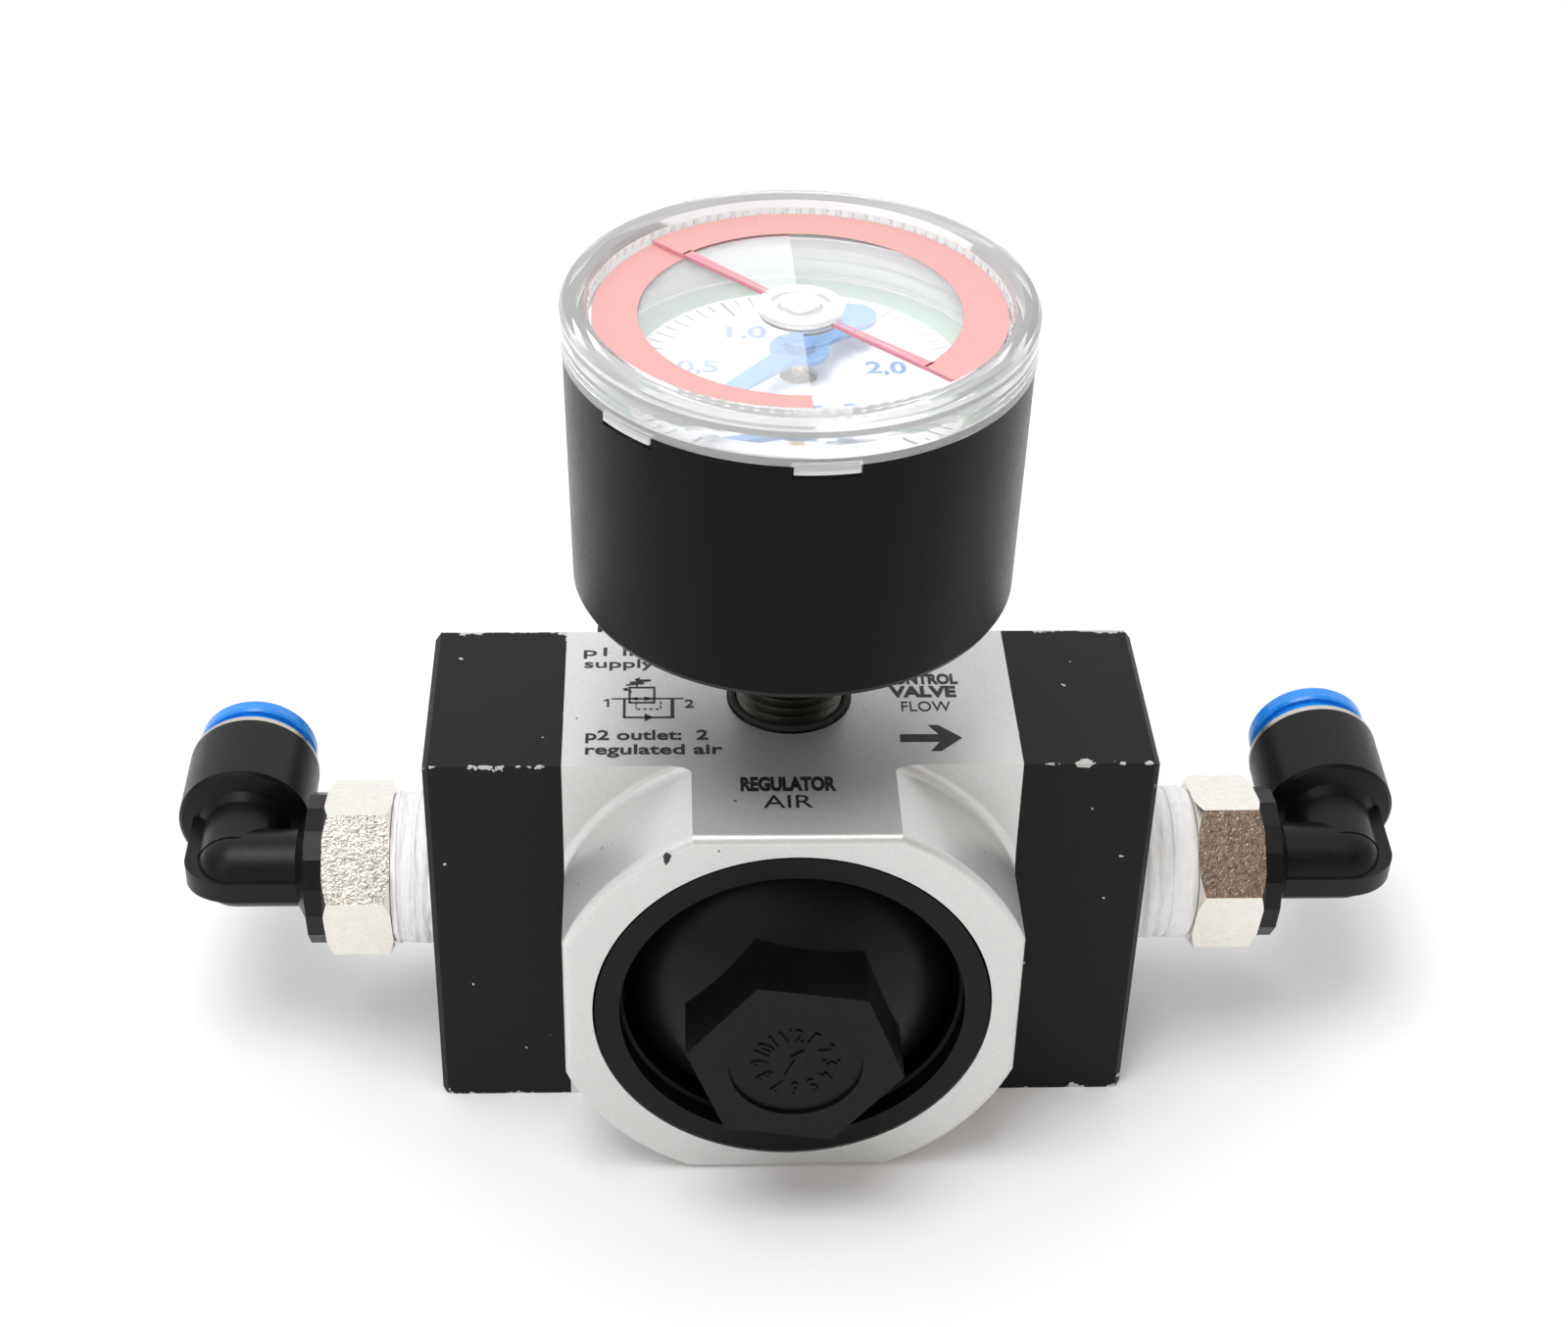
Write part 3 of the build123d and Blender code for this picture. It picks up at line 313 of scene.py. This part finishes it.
def plated_metal(name, colour, roughness, hammered, grain=700.0, pit_and_reflection_facing=None):
    """Bright plating whose flats are slightly uneven; flats that face the given direction get dark spots,
    partly pitting and partly painted reflection.
    """
    material, tree, shader, place = new_material(name)
    broad = add_noise(tree, place, grain, 4.0, 0.7)
    fine = add_noise(tree, place, grain * 5, 2.0)
    pits_and_painted_reflection = add_range(tree, fine, 0.60, 0.70, 0.0, 0.5)
    # Dark spots on flats facing one direction: partly real pitting, partly painted reflection of the
    # surroundings.
    if pit_and_reflection_facing:
        facing = tree.nodes.new("ShaderNodeVectorMath")
        facing.operation = "DOT_PRODUCT"
        facing.inputs[1].default_value = Vector(pit_and_reflection_facing).normalized()
        tree.links.new(tree.nodes["Texture Coordinate"].outputs["Normal"], facing.inputs[0])
        pit_and_reflection_share = add_range(tree, facing.outputs["Value"], 0.93, 0.98, 0.0, 1.0)
        pit_and_reflection_spots = add_range(tree, add_noise(tree, place, grain * 1.4, 8.0, 0.85), 0.48, 0.62, 0.0, 0.9)
        pits_and_painted_reflection = add_math(tree, "MAXIMUM", pits_and_painted_reflection, add_math(tree, "MULTIPLY", pit_and_reflection_share, pit_and_reflection_spots))
    plate = add_mix(tree, add_range(tree, broad, 0.3, 0.7, 0.0, 1.0), shaded(colour, 0.9), colour)
    tree.links.new(add_mix(tree, pits_and_painted_reflection, plate, shaded(colour, 0.35)), shader.inputs["Base Color"])
    rough = add_range(tree, fine, 0.3, 0.7, roughness - 0.05, roughness + 0.07)
    tree.links.new(rough, shader.inputs["Roughness"])
    shader.inputs["Metallic"].default_value = 1.0
    relief = add_math(tree, "ADD", broad, add_noise(tree, place, grain * 3, 3.0, 0.7))
    if pit_and_reflection_facing:
        relief = add_math(tree, "MULTIPLY", relief, add_range(tree, pit_and_reflection_share, 0.0, 1.0, 0.3, 1.0))
    add_bump(tree, relief, shader, hammered, 0.00008)
    return material


def clear_plastic(name, clear, ior=1.46, rim=None, rim_clear=0.5, roughness=0.03, bump=0.02):
    """Clear plastic with faint waves that lamps shine through; rim_clear is its share outside the rim."""
    material, tree, shader, place = new_material(name)
    waves = add_noise(tree, place, 220, 2.0)
    tree.links.new(add_mix(tree, waves, (0.975, 0.98, 0.985), (1.0, 1.0, 1.0)), shader.inputs["Base Color"])
    rough = add_range(tree, waves, 0.3, 0.7, roughness * 0.6, roughness * 1.4)
    tree.links.new(rough, shader.inputs["Roughness"])
    shader.inputs["Transmission Weight"].default_value = clear
    shader.inputs["IOR"].default_value = ior
    if rim:
        flat = tree.nodes.new("ShaderNodeVectorMath")
        flat.operation = "MULTIPLY"
        flat.inputs[1].default_value = (1, 1, 0)
        tree.links.new(place, flat.inputs[0])
        radius = tree.nodes.new("ShaderNodeVectorMath")
        radius.operation = "LENGTH"
        tree.links.new(flat.outputs["Vector"], radius.inputs[0])
        inside, outside = (rim - 0.3) * MM, (rim + 0.3) * MM
        share = add_range(tree, radius.outputs["Value"], inside, outside, clear, rim_clear)
        tree.links.new(share, shader.inputs["Transmission Weight"])
    add_bump(tree, waves, shader, bump, 0.0001)
    path = tree.nodes.new("ShaderNodeLightPath")
    through = tree.nodes.new("ShaderNodeBsdfTransparent")
    through.inputs["Color"].default_value = (0.96, 0.965, 0.97, 1)
    lit = add_blend(tree, path.outputs["Is Shadow Ray"], shader.outputs[0], through.outputs[0])
    tree.links.new(lit, tree.nodes["Material Output"].inputs["Surface"])
    return material


def tinted_film(name, colour, share):
    """Printed translucent colour; share of light passes straight through."""
    material, tree, shader, place = new_material(name)
    grain = add_noise(tree, place, 5200, 2.0)
    tree.links.new(
        add_mix(tree, add_range(tree, grain, 0.3, 0.7, 0, 1), shaded(colour, 0.9), shaded(colour, 1.08)),
        shader.inputs["Base Color"],
    )
    shader.inputs["Roughness"].default_value = 0.35
    through = tree.nodes.new("ShaderNodeBsdfTransparent")
    through.inputs["Color"].default_value = (*colour, 1)
    film = add_blend(tree, share, shader.outputs[0], through.outputs[0])
    tree.links.new(film, tree.nodes["Material Output"].inputs["Surface"])
    return material


# ---------------------------------------------------------------- mesh helpers
def add_piece(name, mesh, material, body, smooth=True):
    """Links a mesh made in millimetres as a piece that rides on a body."""
    mesh.transform(Matrix.Scale(MM, 4))
    mesh.materials.clear()
    mesh.materials.append(material)
    mesh.polygons.foreach_set("use_smooth", [smooth] * len(mesh.polygons))
    mesh.update()
    piece = bpy.data.objects.new(name, mesh)
    scene.collection.objects.link(piece)
    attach(piece, body)
    return piece


def to_mesh(name, builder):
    """Mesh datablock from a bmesh, with outward normals."""
    bmesh.ops.recalc_face_normals(builder, faces=builder.faces)
    mesh = bpy.data.meshes.new(name)
    builder.to_mesh(mesh)
    builder.free()
    return mesh


def add_prism(builder, outline, low, high, place=Matrix()):
    """Closed prism between two heights from an outline of (x, y) points."""
    count = len(outline)
    bottom = [builder.verts.new(place @ Vector((x, y, low))) for x, y in outline]
    top = [builder.verts.new(place @ Vector((x, y, high))) for x, y in outline]
    builder.faces.new(bottom[::-1])
    builder.faces.new(top)
    for i in range(count):
        builder.faces.new((bottom[i], bottom[(i + 1) % count], top[(i + 1) % count], top[i]))


def add_stroke(builder, start, end, width, low, high, place=Matrix()):
    """Straight bar of ink between two points."""
    (x0, y0), (x1, y1) = start, end
    length = hypot(x1 - x0, y1 - y0)
    px, py = -(y1 - y0) / length * width / 2, (x1 - x0) / length * width / 2
    outline = [(x0 - px, y0 - py), (x1 - px, y1 - py), (x1 + px, y1 + py), (x0 + px, y0 + py)]
    add_prism(builder, outline, low, high, place)


def add_arc_band(builder, inner, outer, low, high, start, end, step=3.0):
    """Part of a flat ring between two angles in degrees, as a closed solid."""
    count = max(2, int(abs(end - start) / step) + 1)
    angles = [radians(start + (end - start) * i / count) for i in range(count + 1)]
    rows = [
        [builder.verts.new((r * cos(a), r * sin(a), z)) for r, z in
         ((inner, low), (outer, low), (outer, high), (inner, high))]
        for a in angles
    ]
    for here, there in zip(rows, rows[1:]):
        for k in range(4):
            builder.faces.new((here[k], there[k], there[(k + 1) % 4], here[(k + 1) % 4]))
    builder.faces.new(rows[0])
    builder.faces.new(rows[-1][::-1])


def add_words(builder, words, at, cap_height, width, low, bold=0.0, centred=False, place=Matrix()):
    """Lettering laid flat at a height, scaled to a cap height and a width."""
    curve = bpy.data.curves.new("words", "FONT")
    curve.body = words
    curve.offset = bold
    curve.resolution_u = 5
    holder = bpy.data.objects.new("words", curve)
    scene.collection.objects.link(holder)
    shapes = bpy.data.meshes.new_from_object(holder.evaluated_get(bpy.context.evaluated_depsgraph_get()))
    corners = [v.co for v in shapes.vertices]
    left, right = min(c.x for c in corners), max(c.x for c in corners)
    capital = 0.7
    wide, tall = width / (right - left), cap_height / capital
    shift = at[0] - (width / 2 if centred else 0)
    flat = bmesh.new()
    flat.from_mesh(shapes)
    for vertex in flat.verts:
        x, y, _ = vertex.co
        vertex.co = ((x - left) * wide + shift, (y - capital / 2) * tall + at[1], low)
    bmesh.ops.remove_doubles(flat, verts=flat.verts, dist=0.002)
    raised = bmesh.ops.extrude_face_region(flat, geom=flat.faces[:])
    for item in raised["geom"]:
        if isinstance(item, bmesh.types.BMVert):
            item.co.z += INK
    bmesh.ops.transform(flat, matrix=place, verts=flat.verts)
    bmesh.ops.recalc_face_normals(flat, faces=flat.faces)
    flat.to_mesh(shapes)
    flat.free()
    builder.from_mesh(shapes)
    bpy.data.objects.remove(holder)
    bpy.data.meshes.remove(shapes)
    bpy.data.curves.remove(curve)


def turned_mesh(name, outline, steps, shape_radius=None):
    """Closed surface of revolution about +Y at AXIS_Z from (radius, y) points, open at neither end."""
    builder = bmesh.new()
    rows = []
    for i in range(steps):
        angle = 2 * pi * i / steps
        row = []
        for r, y in outline:
            radius = shape_radius(r, y, angle) if shape_radius else r
            row.append(builder.verts.new((radius * cos(angle), y, AXIS_Z + radius * sin(angle))))
        rows.append(row)
    for i in range(steps):
        here, there = rows[i], rows[(i + 1) % steps]
        for k in range(len(outline) - 1):
            builder.faces.new((here[k], there[k], there[k + 1], here[k + 1]))
    builder.faces.new([row[0] for row in rows])
    builder.faces.new([row[-1] for row in rows][::-1])
    return to_mesh(name, builder)


# ---------------------------------------------------------------- printed markings on the body
def add_body_print(ink):
    """Port labels, regulator symbol, flow arrow and words on the top face; all of them generic."""
    low, high = BODY_TOP + INK_GAP, BODY_TOP + INK_GAP + INK
    builder = bmesh.new()
    add_words(builder, "p1 inlet: 1", (-18.4, 6.9), 1.25, 10.5, low, 0.012)
    add_words(builder, "supply air", (-18.3, 5.05), 1.25, 9.6, low, 0.012)
    add_words(builder, "p2 outlet:  2", (-18.0, -5.6), 1.35, 10.7, low, 0.02)
    add_words(builder, "regulated air", (-18.0, -7.65), 1.35, 11.9, low, 0.02)
    add_words(builder, "CONTROL", (11.9, 2.5), 1.4, 6.8, low, 0.045, True)
    add_words(builder, "VALVE", (12.0, 0.6), 1.5, 6.0, low, 0.045, True)
    add_words(builder, "FLOW", (12.15, -1.6), 1.45, 4.4, low, 0.0, True)
    add_words(builder, "REGULATOR", (-0.55, -12.6), 1.75, 8.2, low, 0.05, True)
    add_words(builder, "AIR", (-0.65, -15.0), 1.75, 4.2, low, 0.0, True)

    arrow = [(9.5, -0.52), (13.0, -0.52), (12.1, -1.85), (13.0, -1.85), (14.95, 0),
             (13.0, 1.85), (12.1, 1.85), (13.0, 0.52), (9.5, 0.52)]
    add_prism(builder, [(x, y - 6.25) for x, y in arrow], low, high)
    add_symbol(builder, low, high)
    add_piece("body_print", to_mesh("body_print", builder), ink, "housing", False)


def add_symbol(builder, low, high):
    """Pressure regulator symbol: square with flow line, spring, pilot line and bypass check valve."""
    left, right, base, top = -14.2, -12.0, -0.88, 1.37
    fine, medium, thick = 0.14, 0.2, 0.34
    line_y, bypass_y = -0.3, -3.07
    rail_left, rail_right = -14.65, -10.4

    def stroke(x0, y0, x1, y1, width):
        add_stroke(builder, (x0, y0), (x1, y1), width, low, high)

    for x0, y0, x1, y1 in ((left, base, right, base), (left, top, right, top),
                           (left, base - medium / 2, left, top + medium / 2),
                           (right, base - medium / 2, right, top + medium / 2)):
        stroke(x0, y0, x1, y1, medium)
    stroke(-15.8, line_y, rail_left, line_y, fine)
    stroke(rail_left, line_y, left, line_y, fine)
    stroke(left, line_y, right, line_y, medium)
    stroke(right, line_y, -9.4, line_y, fine)
    forward = [(right - 0.9, line_y - 0.3), (right - 0.1, line_y), (right - 0.9, line_y + 0.3)]
    backward = [(left + 0.7, line_y - 0.26), (left + 0.1, line_y), (left + 0.7, line_y + 0.26)]
    add_prism(builder, forward, low, high)
    add_prism(builder, backward, low, high)
    zigzag = [(-14.5, 1.75), (-12.9, 2.0), (-14.2, 2.1), (-12.3, 2.45), (-13.7, 2.5), (-13.3, 2.8)]
    for start, end in zip(zigzag, zigzag[1:]):
        stroke(*start, *end, 0.17)
    stroke(-13.5, top, -13.6, 1.9, fine)
    stroke(-14.0, 0.7, -14.6, 1.2, fine)
    add_prism(builder, [(-14.35, 1.3), (-14.85, 1.2), (-14.5, 0.8)], low, high)
    stroke(rail_left, line_y, rail_left, bypass_y - 0.09, 0.24)
    stroke(rail_right, line_y, rail_right, bypass_y - 0.09, thick)
    stroke(rail_left, bypass_y, rail_right, bypass_y, medium)
    add_prism(builder, [(-12.85, bypass_y - 0.55), (-12.1, bypass_y), (-12.85, bypass_y + 0.55)], low, high)
    pilot = [(-13.6, base), (-13.6, -1.85), (-11.43, -1.85), (-11.43, base + 0.3)]
    for (x0, y0), (x1, y1) in zip(pilot, pilot[1:]):
        length = hypot(x1 - x0, y1 - y0)
        dashes = max(1, round(length / 0.55))
        for i in range(dashes):
            a, b = (i + 0.15) / dashes, (i + 0.7) / dashes
            stroke(x0 + (x1 - x0) * a, y0 + (y1 - y0) * a, x0 + (x1 - x0) * b, y0 + (y1 - y0) * b, 0.13)
    stroke(-16.1, -1.5, -16.1, -0.35, 0.2)
    stroke(-16.45, -0.62, -16.1, -0.38, 0.16)
    add_words(builder, "2", (-9.3, -1.05), 1.15, 0.8, low, 0.01)


def add_chip(dark):
    """Small nick in the paint at the boss's front edge."""
    draw = random.Random(4)
    builder = bmesh.new()
    centre, sizes, corners = (-10.95, 36.9), (0.4, 0.66), 18
    outline = []
    for i in range(corners):
        angle = 2 * pi * i / corners
        wobble = 0.75 + 0.45 * draw.random()
        narrow = 0.75 + 0.45 * sin(angle)
        x, z = sizes[0] * wobble * narrow * cos(angle), sizes[1] * wobble * sin(angle)
        outline.append((centre[0] + x + 0.25 * z, centre[1] + z))
    place = Matrix(((1, 0, 0, 0), (0, 0, 1, 0), (0, 1, 0, 0), (0, 0, 0, 1)))
    add_prism(builder, outline, BOSS_FACE - 0.02, BOSS_FACE + 0.1, place)
    add_piece("paint_chip", to_mesh("paint_chip", builder), dark, "housing", False)


# ---------------------------------------------------------------- gauge
SCALE_START, SCALE_END, SCALE_TOP = 225.0, -45.0, 2.5


def scale_angle(bar):
    """Angle in degrees from +X of a pressure on the dial."""
    return SCALE_START + (SCALE_END - SCALE_START) * bar / SCALE_TOP


def add_dial_print(grey, green, blue):
    """Scale ticks, green band, seams of the wall round it, and numerals on the dial."""
    low, high = DIAL_TOP + INK_GAP, DIAL_TOP + INK_GAP + INK
    ticks = bmesh.new()
    divisions, tick_end = 50, 13.5
    for i in range(divisions + 1):
        angle = radians(scale_angle(SCALE_TOP * i / divisions))
        inner = 11.0 if i % 10 == 0 else 11.7 if i % 2 == 0 else 12.3
        width = 0.28 if i % 10 == 0 else 0.14
        add_stroke(ticks, (inner * cos(angle), inner * sin(angle)),
                   (tick_end * cos(angle), tick_end * sin(angle)), width, low, high)
    add_piece("dial_ticks", to_mesh("dial_ticks", ticks), grey, "housing", False)

    band = bmesh.new()
    add_arc_band(band, 13.9, 16.5, low, high, SCALE_END, SCALE_START)
    add_piece("dial_band", to_mesh("dial_band", band), green, "housing", False)

    seams = bmesh.new()
    for z in (71.7, 73.0):
        add_arc_band(seams, 17.01, 17.04, z, z + 0.25, 0, 358)
    add_piece("dial_wall_seams", to_mesh("dial_wall_seams", seams), grey, "housing", False)

    numerals = bmesh.new()
    numeral_r, shift = 7.9, -0.5
    for i in range(6):
        bar = i * 0.5
        angle = radians(scale_angle(bar))
        words = f"{bar:.1f}".replace(".", ",") if i else "0"
        at = (numeral_r * cos(angle) + shift, numeral_r * sin(angle))
        add_words(numerals, words, at, 1.9, 3.4 if i else 1.3, low, 0.03, True)
    add_words(numerals, "bar", (0, -5.2), 1.7, 3.6, low, 0.015, True)
    add_piece("dial_numerals", to_mesh("dial_numerals", numerals), blue, "housing", False)


def add_red_arc(name, body, top, start, film, line):
    """Red band printed on a half disc, with thin wedges and a line along its straight edge if given."""
    builder = bmesh.new()
    low, high = top + INK_GAP, top + INK
    add_arc_band(builder, 13.2, 16.9, low, high, start, start + 180)
    add_piece(f"{name}_arc", to_mesh(f"{name}_arc", builder), film, body, False)
    if line:
        edges = bmesh.new()
        edge_depth = 0.3
        for turn, inward in ((start, 1), (start + 180, -1)):
            place = Matrix.Rotation(radians(turn), 4, "Z")
            for near, far, wide in ((0.02, 0.2, 0.2), (0.42, 0.62, 0.35)):
                outline = [(3.6, inward * near), (13.4, inward * near), (13.4, inward * (far + wide)),
                           (3.6, inward * (near + 0.16))]
                add_prism(edges, outline, low, high, place)
            rim = [(3.6, -0.04 * inward), (16.9, -0.04 * inward), (16.9, 0.0), (3.6, 0.0)]
            add_prism(edges, rim, top - edge_depth, high, place)
        add_piece(f"{name}_edge", to_mesh(f"{name}_edge", edges), line, body, False)


def add_bezel_ribs(clear):
    """Fine ribs inside the bezel, above the range discs."""
    builder = bmesh.new()
    count, r_wall = 94, 17.32
    for i in range(count):
        place = Matrix.Rotation(2 * pi * i / count, 4, "Z") @ Matrix.Translation((r_wall, 0, 0))
        outline = [(0.12 * cos(2 * pi * k / 8) - 0.06, 0.26 * sin(2 * pi * k / 8)) for k in range(8)]
        add_prism(builder, outline, 77.85, 78.45, place)
    add_piece("bezel_ribs", to_mesh("bezel_ribs", builder), clear, "housing", True)


# ---------------------------------------------------------------- date clock in the plug's face
def add_date_clock(plastic):
    """Raised numbers round an arrow, as moulded in the hexagon's recess."""
    face_y, raise_by = -26.45, 0.16
    upright = Matrix(((1, 0, 0, 0), (0, 0, 1, 0), (0, 1, 0, AXIS_Z), (0, 0, 0, 1)))
    builder = bmesh.new()
    for i in range(12):
        angle = pi / 2 - 2 * pi * i / 12
        place = upright @ Matrix.Rotation(angle - pi / 2, 4, "Z")
        width = 0.65 if 0 < i < 10 else 1.25
        add_words(builder, str(i or 12), (0, 3.1), 1.5, width, face_y - raise_by, 0.02, True, place)
    pointing = upright @ Matrix.Rotation(radians(-25), 4, "Z")
    arrow = [(-0.25, -1.6), (0.25, -1.6), (0.25, 0.5), (0.75, 0.5), (0, 1.7), (-0.75, 0.5),
             (-0.25, 0.5)]
    add_prism(builder, arrow, face_y - raise_by - 0.04, face_y + 0.05, pointing)
    add_piece("date_clock", to_mesh("date_clock", builder), plastic, "housing", False)


# ---------------------------------------------------------------- threads and tape
def add_threaded_neck(plastic):
    """Bonnet with the real helical thread of its panel neck."""
    pitch, depth = 1.5, 0.75
    shank_r, shoulder_r, nose_r, bore_r = 17.2, 13.4, 12.6, 5.2
    first, last, step = NECK_START + 0.4, NECK_END - 1.4, 0.15
    count = int((last - first) / step)
    outline = [(shank_r, 15.0), (shank_r, NECK_START), (shank_r, first)]
    outline += [(NECK_R, first + (last - first) * i / count) for i in range(1, count)]
    outline += [(shank_r + 0.05, last), (shank_r, NECK_END), (shoulder_r, NECK_END), (shoulder_r, 43.0),
                (nose_r, 43.6), (nose_r, 51.0), (bore_r, 51.0), (bore_r, 48.1)]

    def thread(r, y, angle):
        if r != NECK_R:
            return r
        phase = (y / pitch - angle / (2 * pi)) % 1.0
        crest = min(1.0, max(0.0, 1.35 * (1 - abs(2 * phase - 1)) - 0.15))
        fade = min(1.0, (y - first) / pitch, (last - y) / pitch)
        return NECK_R - depth + depth * crest * fade

    mesh = turned_mesh("bonnet_thread", outline, 128, thread)
    neck = add_piece("bonnet_thread", mesh, plastic, "housing")
    shade_by_angle(neck)
    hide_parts("bonnet")


def add_tape(name, white):
    """Thread tape wound in overlapping turns over the taper thread, with a ragged inner edge."""
    side, start = SIDES[name], HEX_START[name]
    shown = start - PLATE_OUT
    thread_pitch, lap_pitch = 1.337, 3.4
    tape_r, buried_r, inner_r = 6.98, 6.55, 6.31
    seed = Vector((3.1 * side, 7.7, 1.3))
    steps, rings = 144, 110
    low, high = -shown - 0.9, -0.05
    builder = bmesh.new()

    def radius(s, angle):
        turn = angle / (2 * pi)
        if s < -shown:
            return buried_r + 0.01 * noise.noise(Vector((s, 3 * cos(angle), 3 * sin(angle))) + seed)
        along = (s + shown) / shown
        ridge = 0.055 * sin(2 * pi * (s / thread_pitch - turn)) * (1 - 0.6 * along)
        lap = 0.10 if (s + shown) % lap_pitch < 1.5 + 0.9 * turn else 0.0
        fold_place = Vector((1.1 * s, 2.2 * cos(angle), 2.2 * sin(angle))) + seed
        wrinkle = 0.09 * noise.noise(fold_place * 1.3) + 0.05 * noise.noise(fold_place * 3.9)
        end = exp(-((s - high) / 0.25) ** 2)
        torn = max(0.0, noise.noise(fold_place * 1.7) + 0.15)
        ragged = 0.9 * exp(-((s + shown - 0.12) / 0.3) ** 2) * torn
        return tape_r + ridge + lap + wrinkle - 0.25 * end + ragged

    rows = []
    for i in range(steps):
        angle = 2 * pi * i / steps
        row = []
        for k in range(rings + 1):
            s = low + (high - low) * k / rings
            r = radius(s, angle)
            row.append(builder.verts.new((side * (start + s), r * cos(angle), AXIS_Z + r * sin(angle))))
        for s in (high, low):
            inner = (side * (start + s), inner_r * cos(angle), AXIS_Z + inner_r * sin(angle))
            row.append(builder.verts.new(inner))
        rows.append(row)
    for i in range(steps):
        here, there = rows[i], rows[(i + 1) % steps]
        for k in range(len(here)):
            following = (k + 1) % len(here)
            builder.faces.new((here[k], there[k], there[following], here[following]))
    tape = add_piece(f"{name}_tape", to_mesh(f"{name}_tape", builder), white, "housing")
    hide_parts(f"{name}_thread_tape")


def shade_by_angle(piece, limit=35.0):
    """Smooth shading that keeps creases sharper than the limit."""
    piece.data.polygons.foreach_set("use_smooth", [True] * len(piece.data.polygons))
    piece.data.set_sharp_from_angle(angle=radians(limit))


# ---------------------------------------------------------------- assembly
def assign_materials(made):
    """Gives every CAD node the material of its record slot, with finer choices by name."""
    for entry in frame["record"]["subparts"]:
        node = frame["nodes"][entry["node"]]
        material = made.get(entry["node"]) or made[entry["material_slot"]]
        node.data.materials.clear()
        node.data.materials.append(material)


add_camera()
moulded = grained("moulded_black", (0.0045, 0.0052, 0.0055), 0.34, tint=0.2, grain=1500,
                  spread=0.06, bump=0.15, specular=0.20)
case_black = grained("case_black", (0.0010, 0.0012, 0.0014), 0.34, tint=0.25, grain=2600,
                     spread=0.06, bump=0.25, specular=0.10, sheen=0.16)
plug_black = grained("plug_black", (0.0030, 0.0034, 0.0035), 0.38, tint=0.2, grain=2000,
                     spread=0.07, bump=0.2, specular=0.17)
ring_nickel = plated_metal("ring_nickel", (0.60, 0.565, 0.50), 0.28, 0.2, 1300)
made = {
    "die_cast": die_cast_paint(),
    "black_coat": worn_black_coat(),
    "black_plastic": moulded,
    "gauge_case": case_black,
    "bottom_plug": plug_black,
    # Nickel flats facing front and up get dark spots: partly pitting, partly painted reflection.
    "nickel": plated_metal("nickel", (0.91, 0.885, 0.82), 0.13, 0.5, 1300, (0, -1, 1)),
    "inlet_barrel_ring": ring_nickel,
    "outlet_barrel_ring": ring_nickel,
    "tape": grained("thread_tape", (0.90, 0.905, 0.90), 0.5, tint=0.05, grain=1200, bump=0.3),
    "blue_plastic": grained("blue_plastic", (0.010, 0.26, 0.85), 0.25, tint=0.08, grain=1800, bump=0.05),
    "steel": plated_metal("steel", (0.66, 0.65, 0.62), 0.30, 0.1, 1500),
    "brass": plated_metal("brass", (0.80, 0.62, 0.30), 0.28, 0.1, 1500),
    "rubber": grained("rubber", (0.02, 0.02, 0.02), 0.7, tint=0.15),
    "clear_plastic": clear_plastic("clear_plastic", 0.94, rim=16.6, rim_clear=0.68),
    "range_disc": clear_plastic("range_disc_clear", 0.93, 1.12, bump=0.01),
    "disc_hub_cap": clear_plastic("hub_clear", 0.8, 1.35, roughness=0.06),
    # Gauge stem: nickel painted dark as painted shade, standing for the shadow under the gauge case.
    "gauge_socket": plated_metal("stem_nickel_painted_shade", (0.10, 0.10, 0.085), 0.30, 0.2, 1500),
    "dial_face": grained("dial_face", (0.94, 0.94, 0.94), 0.5, tint=0.01, grain=900, bump=0.02),
    "pointer_blue": grained("pointer_blue", (0.03, 0.22, 0.50), 0.4, tint=0.08, grain=2500),
}
assign_materials(made)
add_studio()

ink = grained("ink", (0.012, 0.012, 0.012), 0.5, tint=0.3, grain=3000)
add_body_print(ink)
add_chip(grained("bare_chip", (0.03, 0.028, 0.025), 0.6, tint=0.3, grain=4000))
add_dial_print(
    grained("scale_grey", (0.15, 0.17, 0.15), 0.5, tint=0.1),
    grained("scale_green", (0.28, 0.46, 0.35), 0.5, tint=0.06),
    grained("scale_blue", (0.12, 0.26, 0.50), 0.5, tint=0.08),
)
red_film = tinted_film("red_film", (0.82, 0.42, 0.40), 0.12)
red_line = tinted_film("red_line", (0.84, 0.34, 0.40), 0.05)
add_red_arc("range_low", "range_disc_low", 77.65, 91.5, red_film, None)
add_red_arc("range_high", "range_disc_high", 78.02, -45, red_film, red_line)
add_bezel_ribs(made["clear_plastic"])
add_date_clock(plug_black)
add_threaded_neck(moulded)
for fitting in SIDES:
    add_tape(fitting, made["tape"])
